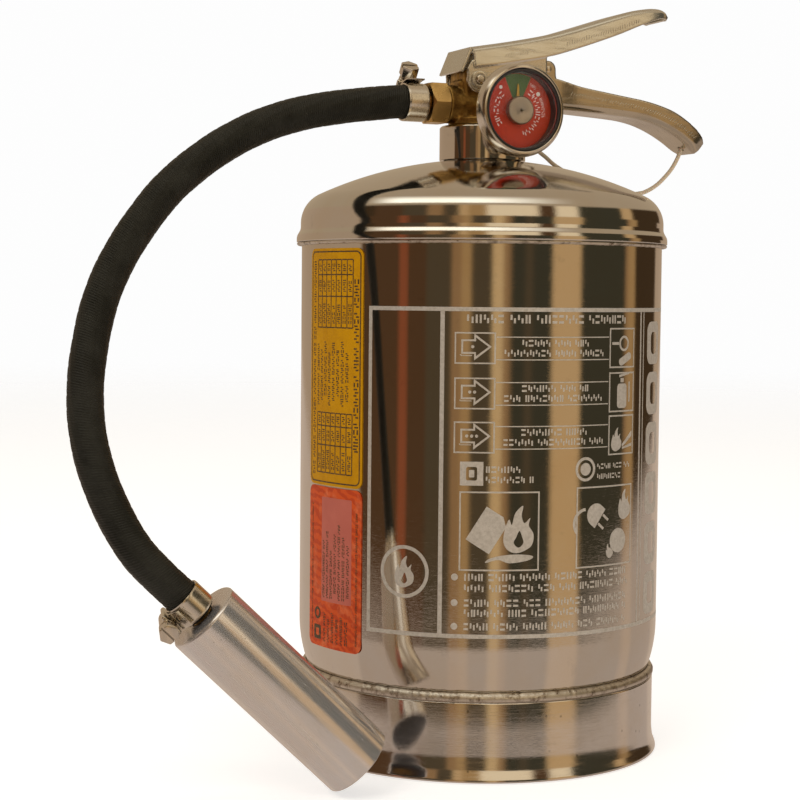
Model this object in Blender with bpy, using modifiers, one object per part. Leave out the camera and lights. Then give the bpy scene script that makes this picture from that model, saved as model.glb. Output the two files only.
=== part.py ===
"""Stored-pressure fire extinguisher with a stamped lever valve, a hose and a straight metal nozzle.

Frame: +Z up from the floor, +X along the carry handle, the gauge faces -Y and the hose leaves
towards -X. The origin is on the floor, under the middle of the vessel and handle together.
Lengths are in metres; MM turns millimetres into them. Places are measured from the vessel's axis.
"""
import math

import bmesh
import bpy
from mathutils import Matrix, Vector

MM = 0.001
GAP = 0.3 * MM                       # clearance between neighbouring pieces

# Vessel
VESSEL_X = -13.6 * MM                # the vessel's axis in the part's frame
VESSEL_RADIUS = 76.2 * MM
VESSEL_WALL = 1.5 * MM
SEAM_Z = 212.6 * MM                  # lower edge of the dome's skirt
SKIRT_RADIUS = 78.4 * MM
DOME_TOP_Z = 248.2 * MM
DOME_CROWN = 163.0 * MM              # crown radius of the top dome
DOME_KNUCKLE = 13.3 * MM
BOTTOM_TANGENT_Z = 54.0 * MM         # where the wall starts to round under
FOOT_RADIUS = 75.0 * MM
FOOT_HEIGHT = 31.5 * MM
NECK_RADIUS = 18.2 * MM
NECK_TOP_Z = 262.2 * MM

# Valve
FLANGE_Z = NECK_TOP_Z + GAP
BLOCK_TOP_Z = 285.2 * MM
PORT_Z = 271.0 * MM
SEAT_Z = 256.0 * MM                  # the valve seat, the top of the spring chamber
CHAMBER_BOTTOM_Z = 238.0 * MM
STEM_RADIUS = 2.0 * MM
STEM_TOP_Z = 294.4 * MM
PIVOT_X = -7.1 * MM
PIVOT_Z = 280.7 * MM
PIVOT_RADIUS = 2.0 * MM
RIVET_X = 8.3 * MM
RIVET_Z = 279.0 * MM

# Lever and carry handle, two stamped channels
LEVER_HALF = 11.0 * MM
LEVER_WALL = 1.3 * MM
HANDLE_HALF = 9.3 * MM
HANDLE_WALL = 1.5 * MM
CHANNEL_BEND = 3.0 * MM

# Safety pin and its ring
PIN_X = 26.3 * MM
PIN_Z = 287.1 * MM
PIN_RADIUS = 1.9 * MM
PIN_TIP_Y = -9.45 * MM
EYE_Y = 19.3 * MM
EYE_RADIUS = 3.9 * MM
RING_RADIUS = 12.0 * MM
RING_WIRE = 1.05 * MM

# Gauge, on an axis along -Y; depths are distances in front of the vessel's axis
GAUGE_Z = 266.4 * MM
GAUGE_BACK = 27.0 * MM
DIAL_DEPTH = 31.2 * MM
NEEDLE_DEPTH = 32.1 * MM
NEEDLE_LENGTH = 11.0 * MM
GAUGE_THREAD = 3.6 * MM

# Hose and nozzle
HEX_FLATS = 16.5 * MM
FITTING_START = 18.5 * MM            # distances towards -X from the vessel's axis
FITTING_END = 26.7 * MM
HOSE_RADIUS = 6.9 * MM
HOSE_BORE = 4.95 * MM
BARB_RADIUS = 4.2 * MM
BARB_LENGTH = 20.5 * MM
NOZZLE_TOP = Vector((-142.6, -58.1, 71.1)) * MM
NOZZLE_WAY = Vector((0.717, -0.055, -0.695)).normalized()
NOZZLE_LENGTH = 85.0 * MM
NOZZLE_RADIUS = 14.75 * MM
NOZZLE_WALL = 1.4 * MM
CLAMP_WIDTH = 9.0 * MM
CLAMP_RADIUS = 7.95 * MM
SCREW_REACH = 10.9 * MM              # a clamp screw's distance from the hose's axis
UPPER_CLAMP = Vector((-32.7, 0.0, 271.0)) * MM
LOWER_CLAMP = NOZZLE_TOP - NOZZLE_WAY * 6.8 * MM

# The hose's route from the valve to the nozzle, and the tether's from the pin to the handle
HOSE_ROUTE = [Vector(p) * MM for p in (
    (-27.2, 0, 271), (-38.2, 0, 271), (-48.5, -0.3, 269.9), (-66, -2, 267.4), (-84.3, -4, 263.6),
    (-102.4, -6.7, 257.5), (-119.5, -10, 248.8), (-135, -13.2, 238), (-147.8, -17, 226.3),
    (-163, -22.8, 207), (-173.3, -28.5, 188), (-179.7, -34.8, 166.5), (-182, -39.5, 150),
    (-181.6, -43.9, 135.5), (-178.6, -47.8, 121.5), (-173.2, -51.6, 107.4), (-166.6, -54.9, 95.6),
    (-158.7, -56.9, 86.7), (-150.8, -57.5, 79.05), (-142.96, -58.07, 71.45))]
TETHER_ROUTE = [Vector(p) * MM for p in (
    (27.5, 19.3, 261.3), (30, 18.6, 258.6), (34, 17.2, 255.6), (38.5, 15.5, 252),
    (42.8, 13.5, 248), (52.3, 10.5, 242.4), (61.8, 7.5, 238.6), (71.2, 4.5, 236.2),
    (79.3, 2.6, 236.7), (82.8, 1.6, 238), (85.8, 0.8, 239.9), (88.6, 0, 242.4),
    (92.8, -0.8, 247.2), (96, -1, 252.4), (97.6, -1, 256.4), (99.2, -1, 259.4))]
TETHER_RADIUS = 0.9 * MM
TETHER_HOLE = Vector((97.5, -1.0, 256.5)) * MM
TETHER_HOLE_WAY = Vector((0.58, 0.0, 0.815)).normalized()

# Labels on the vessel: angles from +X, counter-clockwise from above
LABEL_START = math.radians(179.0)
LABEL_END = math.radians(206.5)
LABEL_RADIUS = 76.33 * MM
LABEL_THICKNESS = 0.25 * MM
LABEL_CORNER = 5.0 * MM

BIG_STEPS = 36                       # facets round the vessel
SMALL_STEPS = 20                     # facets round a small turned piece

POLISHED = ((0.62, 0.59, 0.55), 1.0, 0.12)
BRUSHED = ((0.58, 0.55, 0.51), 1.0, 0.32)
BRASS = ((0.62, 0.42, 0.16), 1.0, 0.35)
SPRING_STEEL = ((0.42, 0.42, 0.42), 1.0, 0.35)
RUBBER = ((0.02, 0.02, 0.021), 0.0, 0.7)
BLACK_PLASTIC = ((0.015, 0.015, 0.015), 0.0, 0.4)
RED = ((0.62, 0.05, 0.03), 0.0, 0.5)
YELLOW = ((0.85, 0.6, 0.03), 0.0, 0.5)
ORANGE = ((0.85, 0.22, 0.05), 0.0, 0.5)
IVORY = ((0.75, 0.68, 0.52), 0.0, 0.5)
CLEAR = ((0.9, 0.92, 0.92), 0.0, 0.05)

for old in list(bpy.data.objects):
    bpy.data.objects.remove(old, do_unlink=True)

PARTS = bpy.data.collections.new("fire_extinguisher")
CUTTERS = bpy.data.collections.new("cutters")
bpy.context.scene.collection.children.link(PARTS)
bpy.context.scene.collection.children.link(CUTTERS)


# ---------------------------------------------------------------- helpers

def finish(name, look):
    """A Principled material from a (colour, metallic, roughness) look."""
    colour, metallic, roughness = look
    material = bpy.data.materials.new(name + "_finish")
    material.use_nodes = True
    shader = material.node_tree.nodes["Principled BSDF"]
    shader.inputs["Base Color"].default_value = (*colour, 1.0)
    shader.inputs["Metallic"].default_value = metallic
    shader.inputs["Roughness"].default_value = roughness
    if look is CLEAR:
        shader.inputs["Transmission Weight"].default_value = 1.0
    return material


def add(name, data, look=None, matrix=None):
    """An object in the parts collection, or a hidden cutter when it has no look."""
    thing = bpy.data.objects.new(name, data)
    (CUTTERS if look is None else PARTS).objects.link(thing)
    if look is None:
        thing.hide_render = True
        thing.display_type = 'WIRE'
    else:
        data.materials.append(finish(name, look))
    if matrix is not None:
        thing.matrix_world = matrix
    return thing


def at_axis(x=0.0, y=0.0, z=0.0):
    """A place given from the vessel's axis."""
    return Matrix.Translation((VESSEL_X + x, y, z))


def frame_at(point, forward, right):
    """Axes at a point from the vessel's axis: Z along forward, X close to right."""
    z_axis = Vector(forward).normalized()
    y_axis = z_axis.cross(Vector(right)).normalized()
    x_axis = y_axis.cross(z_axis)
    turn = Matrix((x_axis, y_axis, z_axis)).transposed().to_4x4()
    return at_axis(*point) @ turn


FRONT = Matrix.Rotation(math.radians(90), 4, 'X')     # local Z to -Y, local Y to +Z
LEFT = frame_at((0, 0, 0), (-1, 0, 0), (0, 0, 1)).to_3x3().to_4x4()


def arc(centre_x, centre_y, radius, start, end, count):
    """Points on a circle, angles in degrees."""
    turns = [math.radians(start + (end - start) * i / count) for i in range(count + 1)]
    return [(centre_x + radius * math.cos(t), centre_y + radius * math.sin(t)) for t in turns]


def smooth(mesh):
    mesh.shade_smooth()
    mesh.set_sharp_from_angle(angle=math.radians(35))


def turned(name, profile, look=None, matrix=None, steps=SMALL_STEPS, ring=True):
    """A profile of (radius, height), down its outer side, turned about the local Z axis."""
    mesh = bpy.data.meshes.new(name)
    count = len(profile)
    edges = [(i, i + 1) for i in range(count - 1)]
    if ring:
        edges.append((count - 1, 0))
    mesh.from_pydata([(r, 0.0, z) for r, z in profile], edges, [])
    thing = add(name, mesh, look, matrix)
    screw = thing.modifiers.new("Turn", 'SCREW')
    screw.steps = steps
    screw.render_steps = steps
    screw.use_merge_vertices = True
    screw.merge_threshold = 0.00001
    screw.use_smooth_shade = True
    return thing


def rod(name, radius, start, end, look=None, sides=SMALL_STEPS, matrix=None):
    """A cylinder between two heights on the local Z axis."""
    mesh = bpy.data.meshes.new(name)
    shape = bmesh.new()
    bmesh.ops.create_cone(shape, cap_ends=True, segments=sides, radius1=radius, radius2=radius,
                          depth=end - start,
                          matrix=Matrix.Translation((0, 0, (start + end) / 2)))
    shape.to_mesh(mesh)
    shape.free()
    if sides > 8:
        smooth(mesh)
    return add(name, mesh, look, matrix)


def block(name, low, high, look=None, matrix=None, bevel=0.0):
    """A box between two corners, with rounded edges."""
    mesh = bpy.data.meshes.new(name)
    shape = bmesh.new()
    low, high = Vector(low), Vector(high)
    size = Matrix.Diagonal((*(high - low), 1.0))
    bmesh.ops.create_cube(shape, size=1.0, matrix=Matrix.Translation((low + high) / 2) @ size)
    if bevel:
        bmesh.ops.bevel(shape, geom=shape.edges[:], offset=bevel, segments=2, profile=0.5,
                        affect='EDGES')
    shape.to_mesh(mesh)
    shape.free()
    return add(name, mesh, look, matrix)


def torus(name, radius, wire, look, matrix, sides=24, wire_sides=6):
    """A round ring about the local Z axis."""
    profile = arc(radius, 0.0, wire, 90, -270 + 360 / wire_sides, wire_sides - 1)
    return turned(name, profile, look, matrix, steps=sides)


def made_solid(curve, look=None):
    """The curve as a closed mesh object, which replaces it."""
    bpy.context.view_layer.update()
    evaluated = curve.evaluated_get(bpy.context.evaluated_depsgraph_get())
    mesh = bpy.data.meshes.new_from_object(evaluated)
    shape = bmesh.new()
    shape.from_mesh(mesh)
    bmesh.ops.remove_doubles(shape, verts=shape.verts[:], dist=0.00001)
    bmesh.ops.recalc_face_normals(shape, faces=shape.faces[:])
    shape.to_mesh(mesh)
    shape.free()
    name, matrix = curve.name, curve.matrix_world.copy()
    bpy.data.objects.remove(curve, do_unlink=True)
    mesh.materials.clear()
    return add(name, mesh, look, matrix)


def outline(name, points, half, look=None, matrix=None):
    """A flat outline in the local XY plane, extruded half its thickness each way."""
    data = bpy.data.curves.new(name, 'CURVE')
    data.dimensions = '2D'
    data.fill_mode = 'BOTH'
    data.extrude = half
    spline = data.splines.new('POLY')
    spline.points.add(len(points) - 1)
    for point, (x, y) in zip(spline.points, points):
        point.co = (x, y, 0.0, 1.0)
    spline.use_cyclic_u = True
    return made_solid(add(name, data, None, matrix), look)


def tube(name, points, radius, look, resolution=2):
    """A round wire through the given points, with closed ends."""
    data = bpy.data.curves.new(name, 'CURVE')
    data.dimensions = '3D'
    data.bevel_depth = radius
    data.bevel_resolution = resolution
    data.use_fill_caps = True
    spline = data.splines.new('POLY')
    spline.points.add(len(points) - 1)
    for point, place in zip(spline.points, points):
        point.co = (*place, 1.0)
    return made_solid(add(name, data), look)


def flowing(route, count):
    """Points on the smooth curve through a route, spaced evenly by length."""
    ends = [route[0] * 2 - route[1]] + list(route) + [route[-1] * 2 - route[-2]]
    fine = []
    for a, b, c, d in zip(ends, ends[1:], ends[2:], ends[3:]):
        for i in range(12):
            t = i / 12
            fine.append(0.5 * (2 * b + (c - a) * t + (2 * a - 5 * b + 4 * c - d) * t * t
                               + (3 * b - a - 3 * c + d) * t ** 3))
    fine.append(route[-1])
    run = [0.0]
    for a, b in zip(fine, fine[1:]):
        run.append(run[-1] + (b - a).length)
    points, place = [], 0
    for i in range(count):
        goal = run[-1] * i / (count - 1)
        while place < len(run) - 2 and run[place + 1] < goal:
            place += 1
        share = (goal - run[place]) / (run[place + 1] - run[place])
        points.append(fine[place].lerp(fine[place + 1], min(share, 1.0)))
    return points


def change(thing, other, operation):
    boolean = thing.modifiers.new(other.name, 'BOOLEAN')
    boolean.operation = operation
    boolean.solver = 'EXACT'
    boolean.object = other


def cut(thing, *cutters):
    for cutter in cutters:
        change(thing, cutter, 'DIFFERENCE')


def join(thing, *others):
    for other in others:
        change(thing, other, 'UNION')


def channel(name, stations, wall, look):
    """A stamped U-channel lofted through stations of web point, cheek edge point and half width.

    Each station is (web_x, web_z, edge_x, edge_z, half) in millimetres from the vessel's axis.
    """
    shape = bmesh.new()
    loops = []
    for web_x, web_z, edge_x, edge_z, half_mm in stations:
        web = Vector((web_x, 0.0, web_z)) * MM
        edge = Vector((edge_x, 0.0, edge_z)) * MM
        way = (edge - web).normalized()
        deep = (edge - web).length
        half = half_mm * MM
        bend = min(CHANNEL_BEND, deep * 0.6)
        outer = arc(half - bend, bend, bend, 0, -90, 2)
        inner = arc(half - bend, bend, bend - wall, -90, 0, 2)
        right = [(half, deep)] + outer
        back = inner + [(half - wall, deep)]
        section = (right + [(-y, d) for y, d in reversed(right)]
                   + [(-y, d) for y, d in reversed(back)] + back)
        loops.append([shape.verts.new(web + way * d + Vector((VESSEL_X, y, 0.0)))
                      for y, d in section])
    count = len(loops[0])
    for one, two in zip(loops, loops[1:]):
        for i in range(count):
            j = (i + 1) % count
            shape.faces.new((one[i], one[j], two[j], two[i]))
    shape.faces.new(loops[0])
    shape.faces.new(list(reversed(loops[-1])))
    bmesh.ops.recalc_face_normals(shape, faces=shape.faces[:])
    mesh = bpy.data.meshes.new(name)
    shape.to_mesh(mesh)
    shape.free()
    smooth(mesh)
    return add(name, mesh, look)


# ---------------------------------------------------------------- vessel

def dome_line(inset):
    """The top dome from the neck hole outwards and down to the skirt, moved inwards by inset."""
    crown = DOME_CROWN - inset
    centre_z = DOME_TOP_Z - DOME_CROWN
    knuckle = DOME_KNUCKLE - inset
    shoulder = VESSEL_RADIUS + 0.5 * MM
    lean = math.asin((shoulder - DOME_KNUCKLE) / (DOME_CROWN - DOME_KNUCKLE))
    knuckle_z = centre_z + (DOME_CROWN - DOME_KNUCKLE) * math.cos(lean)
    hole = math.asin(16.5 * MM / crown)
    start, end = 90 - math.degrees(hole), 90 - math.degrees(lean)
    line = arc(0.0, centre_z, crown, start, end, 4)
    line += arc(shoulder - DOME_KNUCKLE, knuckle_z, knuckle, end, 0, 4)[1:]
    line += [(shoulder - inset, SEAM_Z + 7.4 * MM), (SKIRT_RADIUS - inset, SEAM_Z + 4.9 * MM),
             (SKIRT_RADIUS - inset, SEAM_Z)]
    return line


def bottom_line(inset):
    """The rounded vessel bottom from the wall down and in to the axis, moved inwards."""
    first, second, crown = 58.0 * MM, 20.0 * MM, 195.0 * MM
    lean, turn = 19.1, 72.0
    line = arc(VESSEL_RADIUS - first, BOTTOM_TANGENT_Z, first - inset, 0, -lean, 3)
    c, s = math.cos(math.radians(lean)), math.sin(math.radians(lean))
    knuckle_x = VESSEL_RADIUS - first + (first - second) * c
    knuckle_z = BOTTOM_TANGENT_Z - (first - second) * s
    line += arc(knuckle_x, knuckle_z, second - inset, -lean, -turn, 3)[1:]
    turn_angle = math.radians(turn)
    crown_z = knuckle_z + (crown - second) * math.sin(turn_angle)
    start = -90 + math.degrees(math.asin(line[-1][0] / (crown - inset)))
    line += arc(0.0, crown_z, crown - inset, start, -90, 3)[1:]
    line[-1] = (0.0, line[-1][1])
    return line


def make_body_shell():
    inner = [(VESSEL_RADIUS - VESSEL_WALL, SEAM_Z + 4.2 * MM)] + bottom_line(VESSEL_WALL)
    outer = [(VESSEL_RADIUS, SEAM_Z + 4.2 * MM)] + bottom_line(0.0)
    turned("body_shell", list(reversed(inner)) + outer, POLISHED, at_axis(), BIG_STEPS, ring=False)


def make_top_dome():
    profile = dome_line(0.0) + list(reversed(dome_line(VESSEL_WALL)))
    turned("top_dome", profile, POLISHED, at_axis(), BIG_STEPS)


def make_welds():
    seam = [(77.1 * MM, SEAM_Z - GAP), (78.3 * MM, SEAM_Z - GAP), (78.2 * MM, SEAM_Z - 0.9 * MM),
            (77.5 * MM, SEAM_Z - 1.5 * MM), (76.6 * MM, SEAM_Z - 1.6 * MM),
            (76.6 * MM, SEAM_Z - 0.6 * MM)]
    turned("seam_weld", seam, BRUSHED, at_axis(), BIG_STEPS)
    foot = [(73.7, 35.8), (75.0, 34.8), (75.6, 33.2), (75.2, 31.8), (73.1, 31.8)]
    turned("foot_weld", [(r * MM, z * MM) for r, z in foot], BRUSHED, at_axis(), BIG_STEPS)


def make_foot_ring():
    wall = 1.6 * MM
    profile = [(FOOT_RADIUS, FOOT_HEIGHT), (FOOT_RADIUS, 9 * MM), (FOOT_RADIUS + 0.5 * MM, 4.5 * MM),
               (FOOT_RADIUS + 1.8 * MM, 1.2 * MM), (FOOT_RADIUS + 1.8 * MM, 0.0),
               (FOOT_RADIUS - 1.2 * MM, 0.0), (FOOT_RADIUS - wall, 4.5 * MM),
               (FOOT_RADIUS - wall, FOOT_HEIGHT)]
    turned("foot_ring", profile, BRUSHED, at_axis(), BIG_STEPS)


def make_neck():
    spigot, bore = 16.2 * MM, 12.1 * MM
    shoulder_z, groove_z = 247.75 * MM, NECK_TOP_Z - 1.7 * MM
    profile = [(14.3 * MM, groove_z), (14.3 * MM, NECK_TOP_Z), (NECK_RADIUS - 0.8 * MM, NECK_TOP_Z),
               (NECK_RADIUS, NECK_TOP_Z - 0.8 * MM), (NECK_RADIUS, shoulder_z),
               (spigot, shoulder_z), (spigot, 239.5 * MM), (bore, 239.5 * MM), (bore, NECK_TOP_Z),
               (12.5 * MM, NECK_TOP_Z), (12.5 * MM, groove_z)]
    turned("neck_sleeve", profile, POLISHED, at_axis(), 28)
    torus("neck_oring", 13.4 * MM, 0.75 * MM, RUBBER, at_axis(z=NECK_TOP_Z - 0.85 * MM))


def make_label(name, low, high, look):
    """A thin plate bent round the vessel, with rounded corners."""
    width = (LABEL_END - LABEL_START) * LABEL_RADIUS
    steps = [0.0, 0.3, 0.9, 2.0, 5.0]
    places = [s * MM for s in steps] + [width * i / 10 for i in range(2, 9)]
    places += [width - s * MM for s in reversed(steps)]
    shape = bmesh.new()
    rows = []
    for place in places:
        edge = min(place, width - place, LABEL_CORNER)
        drop = LABEL_CORNER - math.sqrt(LABEL_CORNER ** 2 - (LABEL_CORNER - edge) ** 2)
        angle = LABEL_START + place / LABEL_RADIUS
        x, y = LABEL_RADIUS * math.cos(angle), LABEL_RADIUS * math.sin(angle)
        rows.append([shape.verts.new((x, y, z)) for z in (low + drop, high - drop)])
    for one, two in zip(rows, rows[1:]):
        shape.faces.new((one[0], two[0], two[1], one[1]))
    mesh = bpy.data.meshes.new(name)
    shape.to_mesh(mesh)
    shape.free()
    thing = add(name, mesh, look, at_axis())
    solid = thing.modifiers.new("Thickness", 'SOLIDIFY')
    solid.thickness = LABEL_THICKNESS
    solid.offset = 1.0


# ---------------------------------------------------------------- valve

def across(x, z):
    """Axes at a place in the XZ plane with local Z along +Y."""
    return frame_at((x, 0.0, z), (0, 1, 0), (1, 0, 0))


def make_valve_body():
    body = rod("valve_body", 14.6 * MM, FLANGE_Z - 1 * MM, 265.4 * MM, BRASS, matrix=at_axis())
    front = at_axis(z=GAUGE_Z) @ FRONT
    left = at_axis(z=PORT_Z) @ LEFT
    join(body,
         block("valve_block", (-12.0 * MM, -7.4 * MM, 264 * MM), (12 * MM, 7.4 * MM, BLOCK_TOP_Z),
               matrix=at_axis(), bevel=1.4 * MM),
         rod("valve_port", 8.0 * MM, 0.0, 18.1 * MM, matrix=left),
         rod("valve_gauge_boss", 6.2 * MM, 0.0, 12.8 * MM, matrix=front))
    cut(body, block("cut_below_flange", (-30 * MM, -30 * MM, 240 * MM), (30 * MM, 30 * MM, FLANGE_Z),
                    matrix=at_axis()))
    join(body, rod("valve_spigot", 11.8 * MM, CHAMBER_BOTTOM_Z, 264.6 * MM, matrix=at_axis()))
    cut(body,
        rod("cut_chamber", 8.6 * MM, 230 * MM, SEAT_Z, matrix=at_axis()),
        rod("cut_seat", 4.4 * MM, SEAT_Z - 1 * MM, 276 * MM, matrix=at_axis()),
        rod("cut_guide", STEM_RADIUS + 0.35 * MM, 275 * MM, 290 * MM, matrix=at_axis()),
        rod("cut_groove", 3.9 * MM, 278.2 * MM, 280.3 * MM, matrix=at_axis()),
        rod("cut_port", 5.8 * MM, 5.0 * MM, 24 * MM, matrix=left),
        rod("cut_port_way", 3.6 * MM, 0.0, 6.0 * MM, sides=16, matrix=left),
        rod("cut_gauge", GAUGE_THREAD + GAP, 6.5 * MM, 20 * MM, matrix=front),
        rod("cut_gauge_way", 1.2 * MM, 0.0, 8.0 * MM, sides=12, matrix=front),
        rod("cut_pivot", PIVOT_RADIUS + GAP, -20 * MM, 20 * MM, sides=20,
            matrix=across(PIVOT_X, PIVOT_Z)),
        rod("cut_rivet", 2.0 * MM, -20 * MM, 20 * MM, sides=20, matrix=across(RIVET_X, RIVET_Z)))


def make_stem():
    poppet, poppet_top = 6.4 * MM, SEAT_Z - 2.6 * MM
    profile = [(0.0, STEM_TOP_Z), (1.2 * MM, STEM_TOP_Z - 0.3 * MM),
               (STEM_RADIUS, STEM_TOP_Z - 1.1 * MM), (STEM_RADIUS, poppet_top),
               (poppet, poppet_top), (poppet, poppet_top - 3.0 * MM),
               (2.6 * MM, poppet_top - 3.4 * MM), (2.6 * MM, poppet_top - 5.5 * MM),
               (0.0, poppet_top - 5.5 * MM)]
    turned("valve_stem", profile, BRASS, at_axis(), 24, ring=False)
    low, high = poppet_top + GAP, SEAT_Z - GAP
    inner, outer = STEM_RADIUS + GAP, 6.2 * MM
    turned("stem_seal", [(inner, high), (outer, high), (outer, low), (inner, low)], RUBBER,
           at_axis(), 24)
    torus("stem_oring", 3.1 * MM, 0.65 * MM, RUBBER, at_axis(z=279.25 * MM), sides=20)


def make_spring():
    low, high = 242.1 * MM, 249.2 * MM
    turns, each = 3, 12
    points = []
    for i in range(turns * each + 1):
        angle = math.tau * i / each
        height = low + (high - low) * i / (turns * each)
        points.append(Vector((VESSEL_X + 5.2 * MM * math.cos(angle), 5.2 * MM * math.sin(angle),
                              height)))
    tube("valve_spring", points, 0.45 * MM, SPRING_STEEL, resolution=1)


def make_siphon():
    top, shoulder, nipple_end = 241.0 * MM, CHAMBER_BOTTOM_Z - GAP, 222 * MM
    bore, collar, nipple = 3.4 * MM, 10.5 * MM, 4.8 * MM
    profile = [(8.2 * MM, top), (8.2 * MM, shoulder), (collar, shoulder), (collar, 235.2 * MM),
               (nipple, 235.2 * MM), (nipple, nipple_end), (bore, nipple_end), (bore, top)]
    turned("siphon_adapter", profile, BRASS, at_axis())
    inner, outer, high, low = 5.1 * MM, 6.3 * MM, 234.9 * MM, 18.5 * MM
    turned("siphon_tube", [(outer, high), (outer, low), (inner, low), (inner, high)], IVORY,
           at_axis(), 20)


# ---------------------------------------------------------------- handle and lever

HANDLE_STATIONS = [
    (12.4, 270.8, 12.4, 283.6, 9.3), (22.0, 270.7, 22.0, 283.8, 9.3),
    (31.0, 270.5, 31.0, 283.2, 9.3), (41.0, 270.1, 42.0, 280.4, 10.2),
    (52.0, 269.5, 53.5, 278.7, 10.4), (62.0, 268.9, 64.5, 277.2, 10.4),
    (70.0, 268.2, 73.2, 276.0, 10.4), (77.0, 266.8, 81.0, 274.3, 10.4),
    (83.0, 264.8, 88.2, 272.0, 10.4), (88.5, 262.3, 94.8, 268.5, 10.3),
    (93.5, 259.4, 100.0, 264.9, 10.0), (98.0, 256.2, 103.4, 261.6, 9.4),
    (101.4, 254.2, 105.0, 258.8, 8.2)]

LEVER_STATIONS = [
    (-10.6, 294.3, -9.2, 286.0, 11.0), (0.0, 296.2, 1.5, 287.6, 11.0),
    (9.0, 297.9, 10.6, 289.2, 11.0), (20.0, 300.2, 22.0, 291.4, 11.0),
    (27.0, 301.9, 29.2, 293.0, 11.0), (36.0, 304.5, 38.6, 296.0, 11.0),
    (46.0, 307.7, 48.8, 299.5, 11.0), (57.0, 311.3, 59.6, 303.5, 11.0),
    (66.0, 314.0, 68.4, 307.2, 11.0), (72.0, 315.3, 73.4, 309.2, 11.0),
    (77.0, 316.0, 77.8, 310.8, 10.8), (81.0, 315.9, 81.0, 311.6, 10.4),
    (84.0, 314.8, 83.2, 311.6, 9.6), (85.8, 312.9, 84.4, 311.0, 8.4)]


def scaled(points):
    return [(x * MM, z * MM) for x, z in points]


def cheek(name, points, low_y, high_y):
    """A flat plate in the XZ plane between two distances from the middle."""
    matrix = at_axis(y=(low_y + high_y) / 2) @ FRONT
    return outline(name, scaled(points), abs(high_y - low_y) / 2, matrix=matrix)


def make_handle():
    handle = channel("carry_handle", HANDLE_STATIONS, HANDLE_WALL, BRUSHED)
    pivot_x, pivot_z, pin_x, pin_z = (v / MM for v in (PIVOT_X, PIVOT_Z, PIN_X, PIN_Z))
    ear = (arc(pivot_x, pivot_z, 4.9, 270, 90, 10) + [(18.0, 286.2)]
           + arc(pin_x, pin_z, 3.6, 135, 0, 6) + [(30.2, 283.0), (30.0, 271.6), (12.9, 271.8),
                                                  (8.6, 275.4)])
    near, far = HANDLE_HALF - HANDLE_WALL + 0.05 * MM, HANDLE_HALF - 0.05 * MM
    join(handle, cheek("handle_ear_front", ear, -far, -near),
         cheek("handle_ear_back", ear, near, far))
    hole = frame_at(TETHER_HOLE, TETHER_HOLE_WAY, (0, 1, 0))
    cut(handle,
        rod("cut_ear_pivot", PIVOT_RADIUS + GAP, -20 * MM, 20 * MM, sides=20,
            matrix=across(PIVOT_X, PIVOT_Z)),
        rod("cut_ear_rivet", 2.0 * MM, -20 * MM, 20 * MM, sides=20,
            matrix=across(RIVET_X, RIVET_Z)),
        rod("cut_ear_pin", PIN_RADIUS + GAP, -20 * MM, 20 * MM, sides=20,
            matrix=across(PIN_X, PIN_Z)),
        rod("cut_tether", 1.5 * MM, -4 * MM, 3 * MM, sides=16, matrix=hole))


def make_lever():
    lever = channel("operating_lever", LEVER_STATIONS, LEVER_WALL, BRUSHED)
    pivot_x, pivot_z = PIVOT_X / MM, PIVOT_Z / MM
    side = (arc(pivot_x, pivot_z, 5.3, 180, 285, 8) + [(0.0, 277.4), (24.7, 283.6), (24.7, 294.6),
                                                       (10.0, 292.0), (-10.6, 288.6),
                                                       (-12.6, 285.4)])
    back_side = [(22.4 if x > 24 else x, z) for x, z in side]
    flap = [(-11.4, 294.3), (-15.7, 284.0), (-14.5, 283.6), (-10.2, 293.2)]
    nose = [(80.6, 315.7), (83.7, 314.6), (85.3, 312.8), (84.4, 311.3), (83.3, 311.5), (83.6, 312.6),
            (82.6, 313.6), (80.4, 314.4)]
    near, far = LEVER_HALF - LEVER_WALL + 0.05 * MM, LEVER_HALF - 0.05 * MM
    join(lever, cheek("lever_side_front", side, -far, -near),
         cheek("lever_side_back", back_side, near, far), cheek("lever_flap", flap, -far, far),
         cheek("lever_nose", nose, -8.2 * MM, 8.2 * MM))
    slot = [(23.4, 282.0), (29.2, 282.0), (29.0, 288.5)] + arc(24.2, 293.9, 2.6, 20, 180, 8)
    cut(lever,
        rod("cut_lever_pivot", PIVOT_RADIUS + 0.35 * MM, -20 * MM, 20 * MM, sides=20,
            matrix=across(PIVOT_X, PIVOT_Z)),
        cheek("cut_pin_slot", slot, 9.0 * MM, 12.0 * MM))


def make_pins():
    half = 13.0 * MM
    profile = [(0.0, half), (1.2 * MM, half - 0.2 * MM), (PIVOT_RADIUS, half - 0.9 * MM),
               (PIVOT_RADIUS, 0.9 * MM - half), (1.2 * MM, 0.2 * MM - half), (0.0, -half)]
    turned("lever_pivot_pin", profile, BRUSHED, across(PIVOT_X, PIVOT_Z), 20, ring=False)
    low, high = 11.4 * MM, 12.2 * MM
    inner, outer = PIVOT_RADIUS + GAP, 4.6 * MM
    turned("pivot_clip", [(inner, high), (outer, high), (outer, low), (inner, low)], SPRING_STEEL,
           across(PIVOT_X, PIVOT_Z), 20)
    rod("handle_rivet", 1.7 * MM, -9.2 * MM, 9.2 * MM, BRUSHED, sides=20,
        matrix=across(RIVET_X, RIVET_Z))


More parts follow.
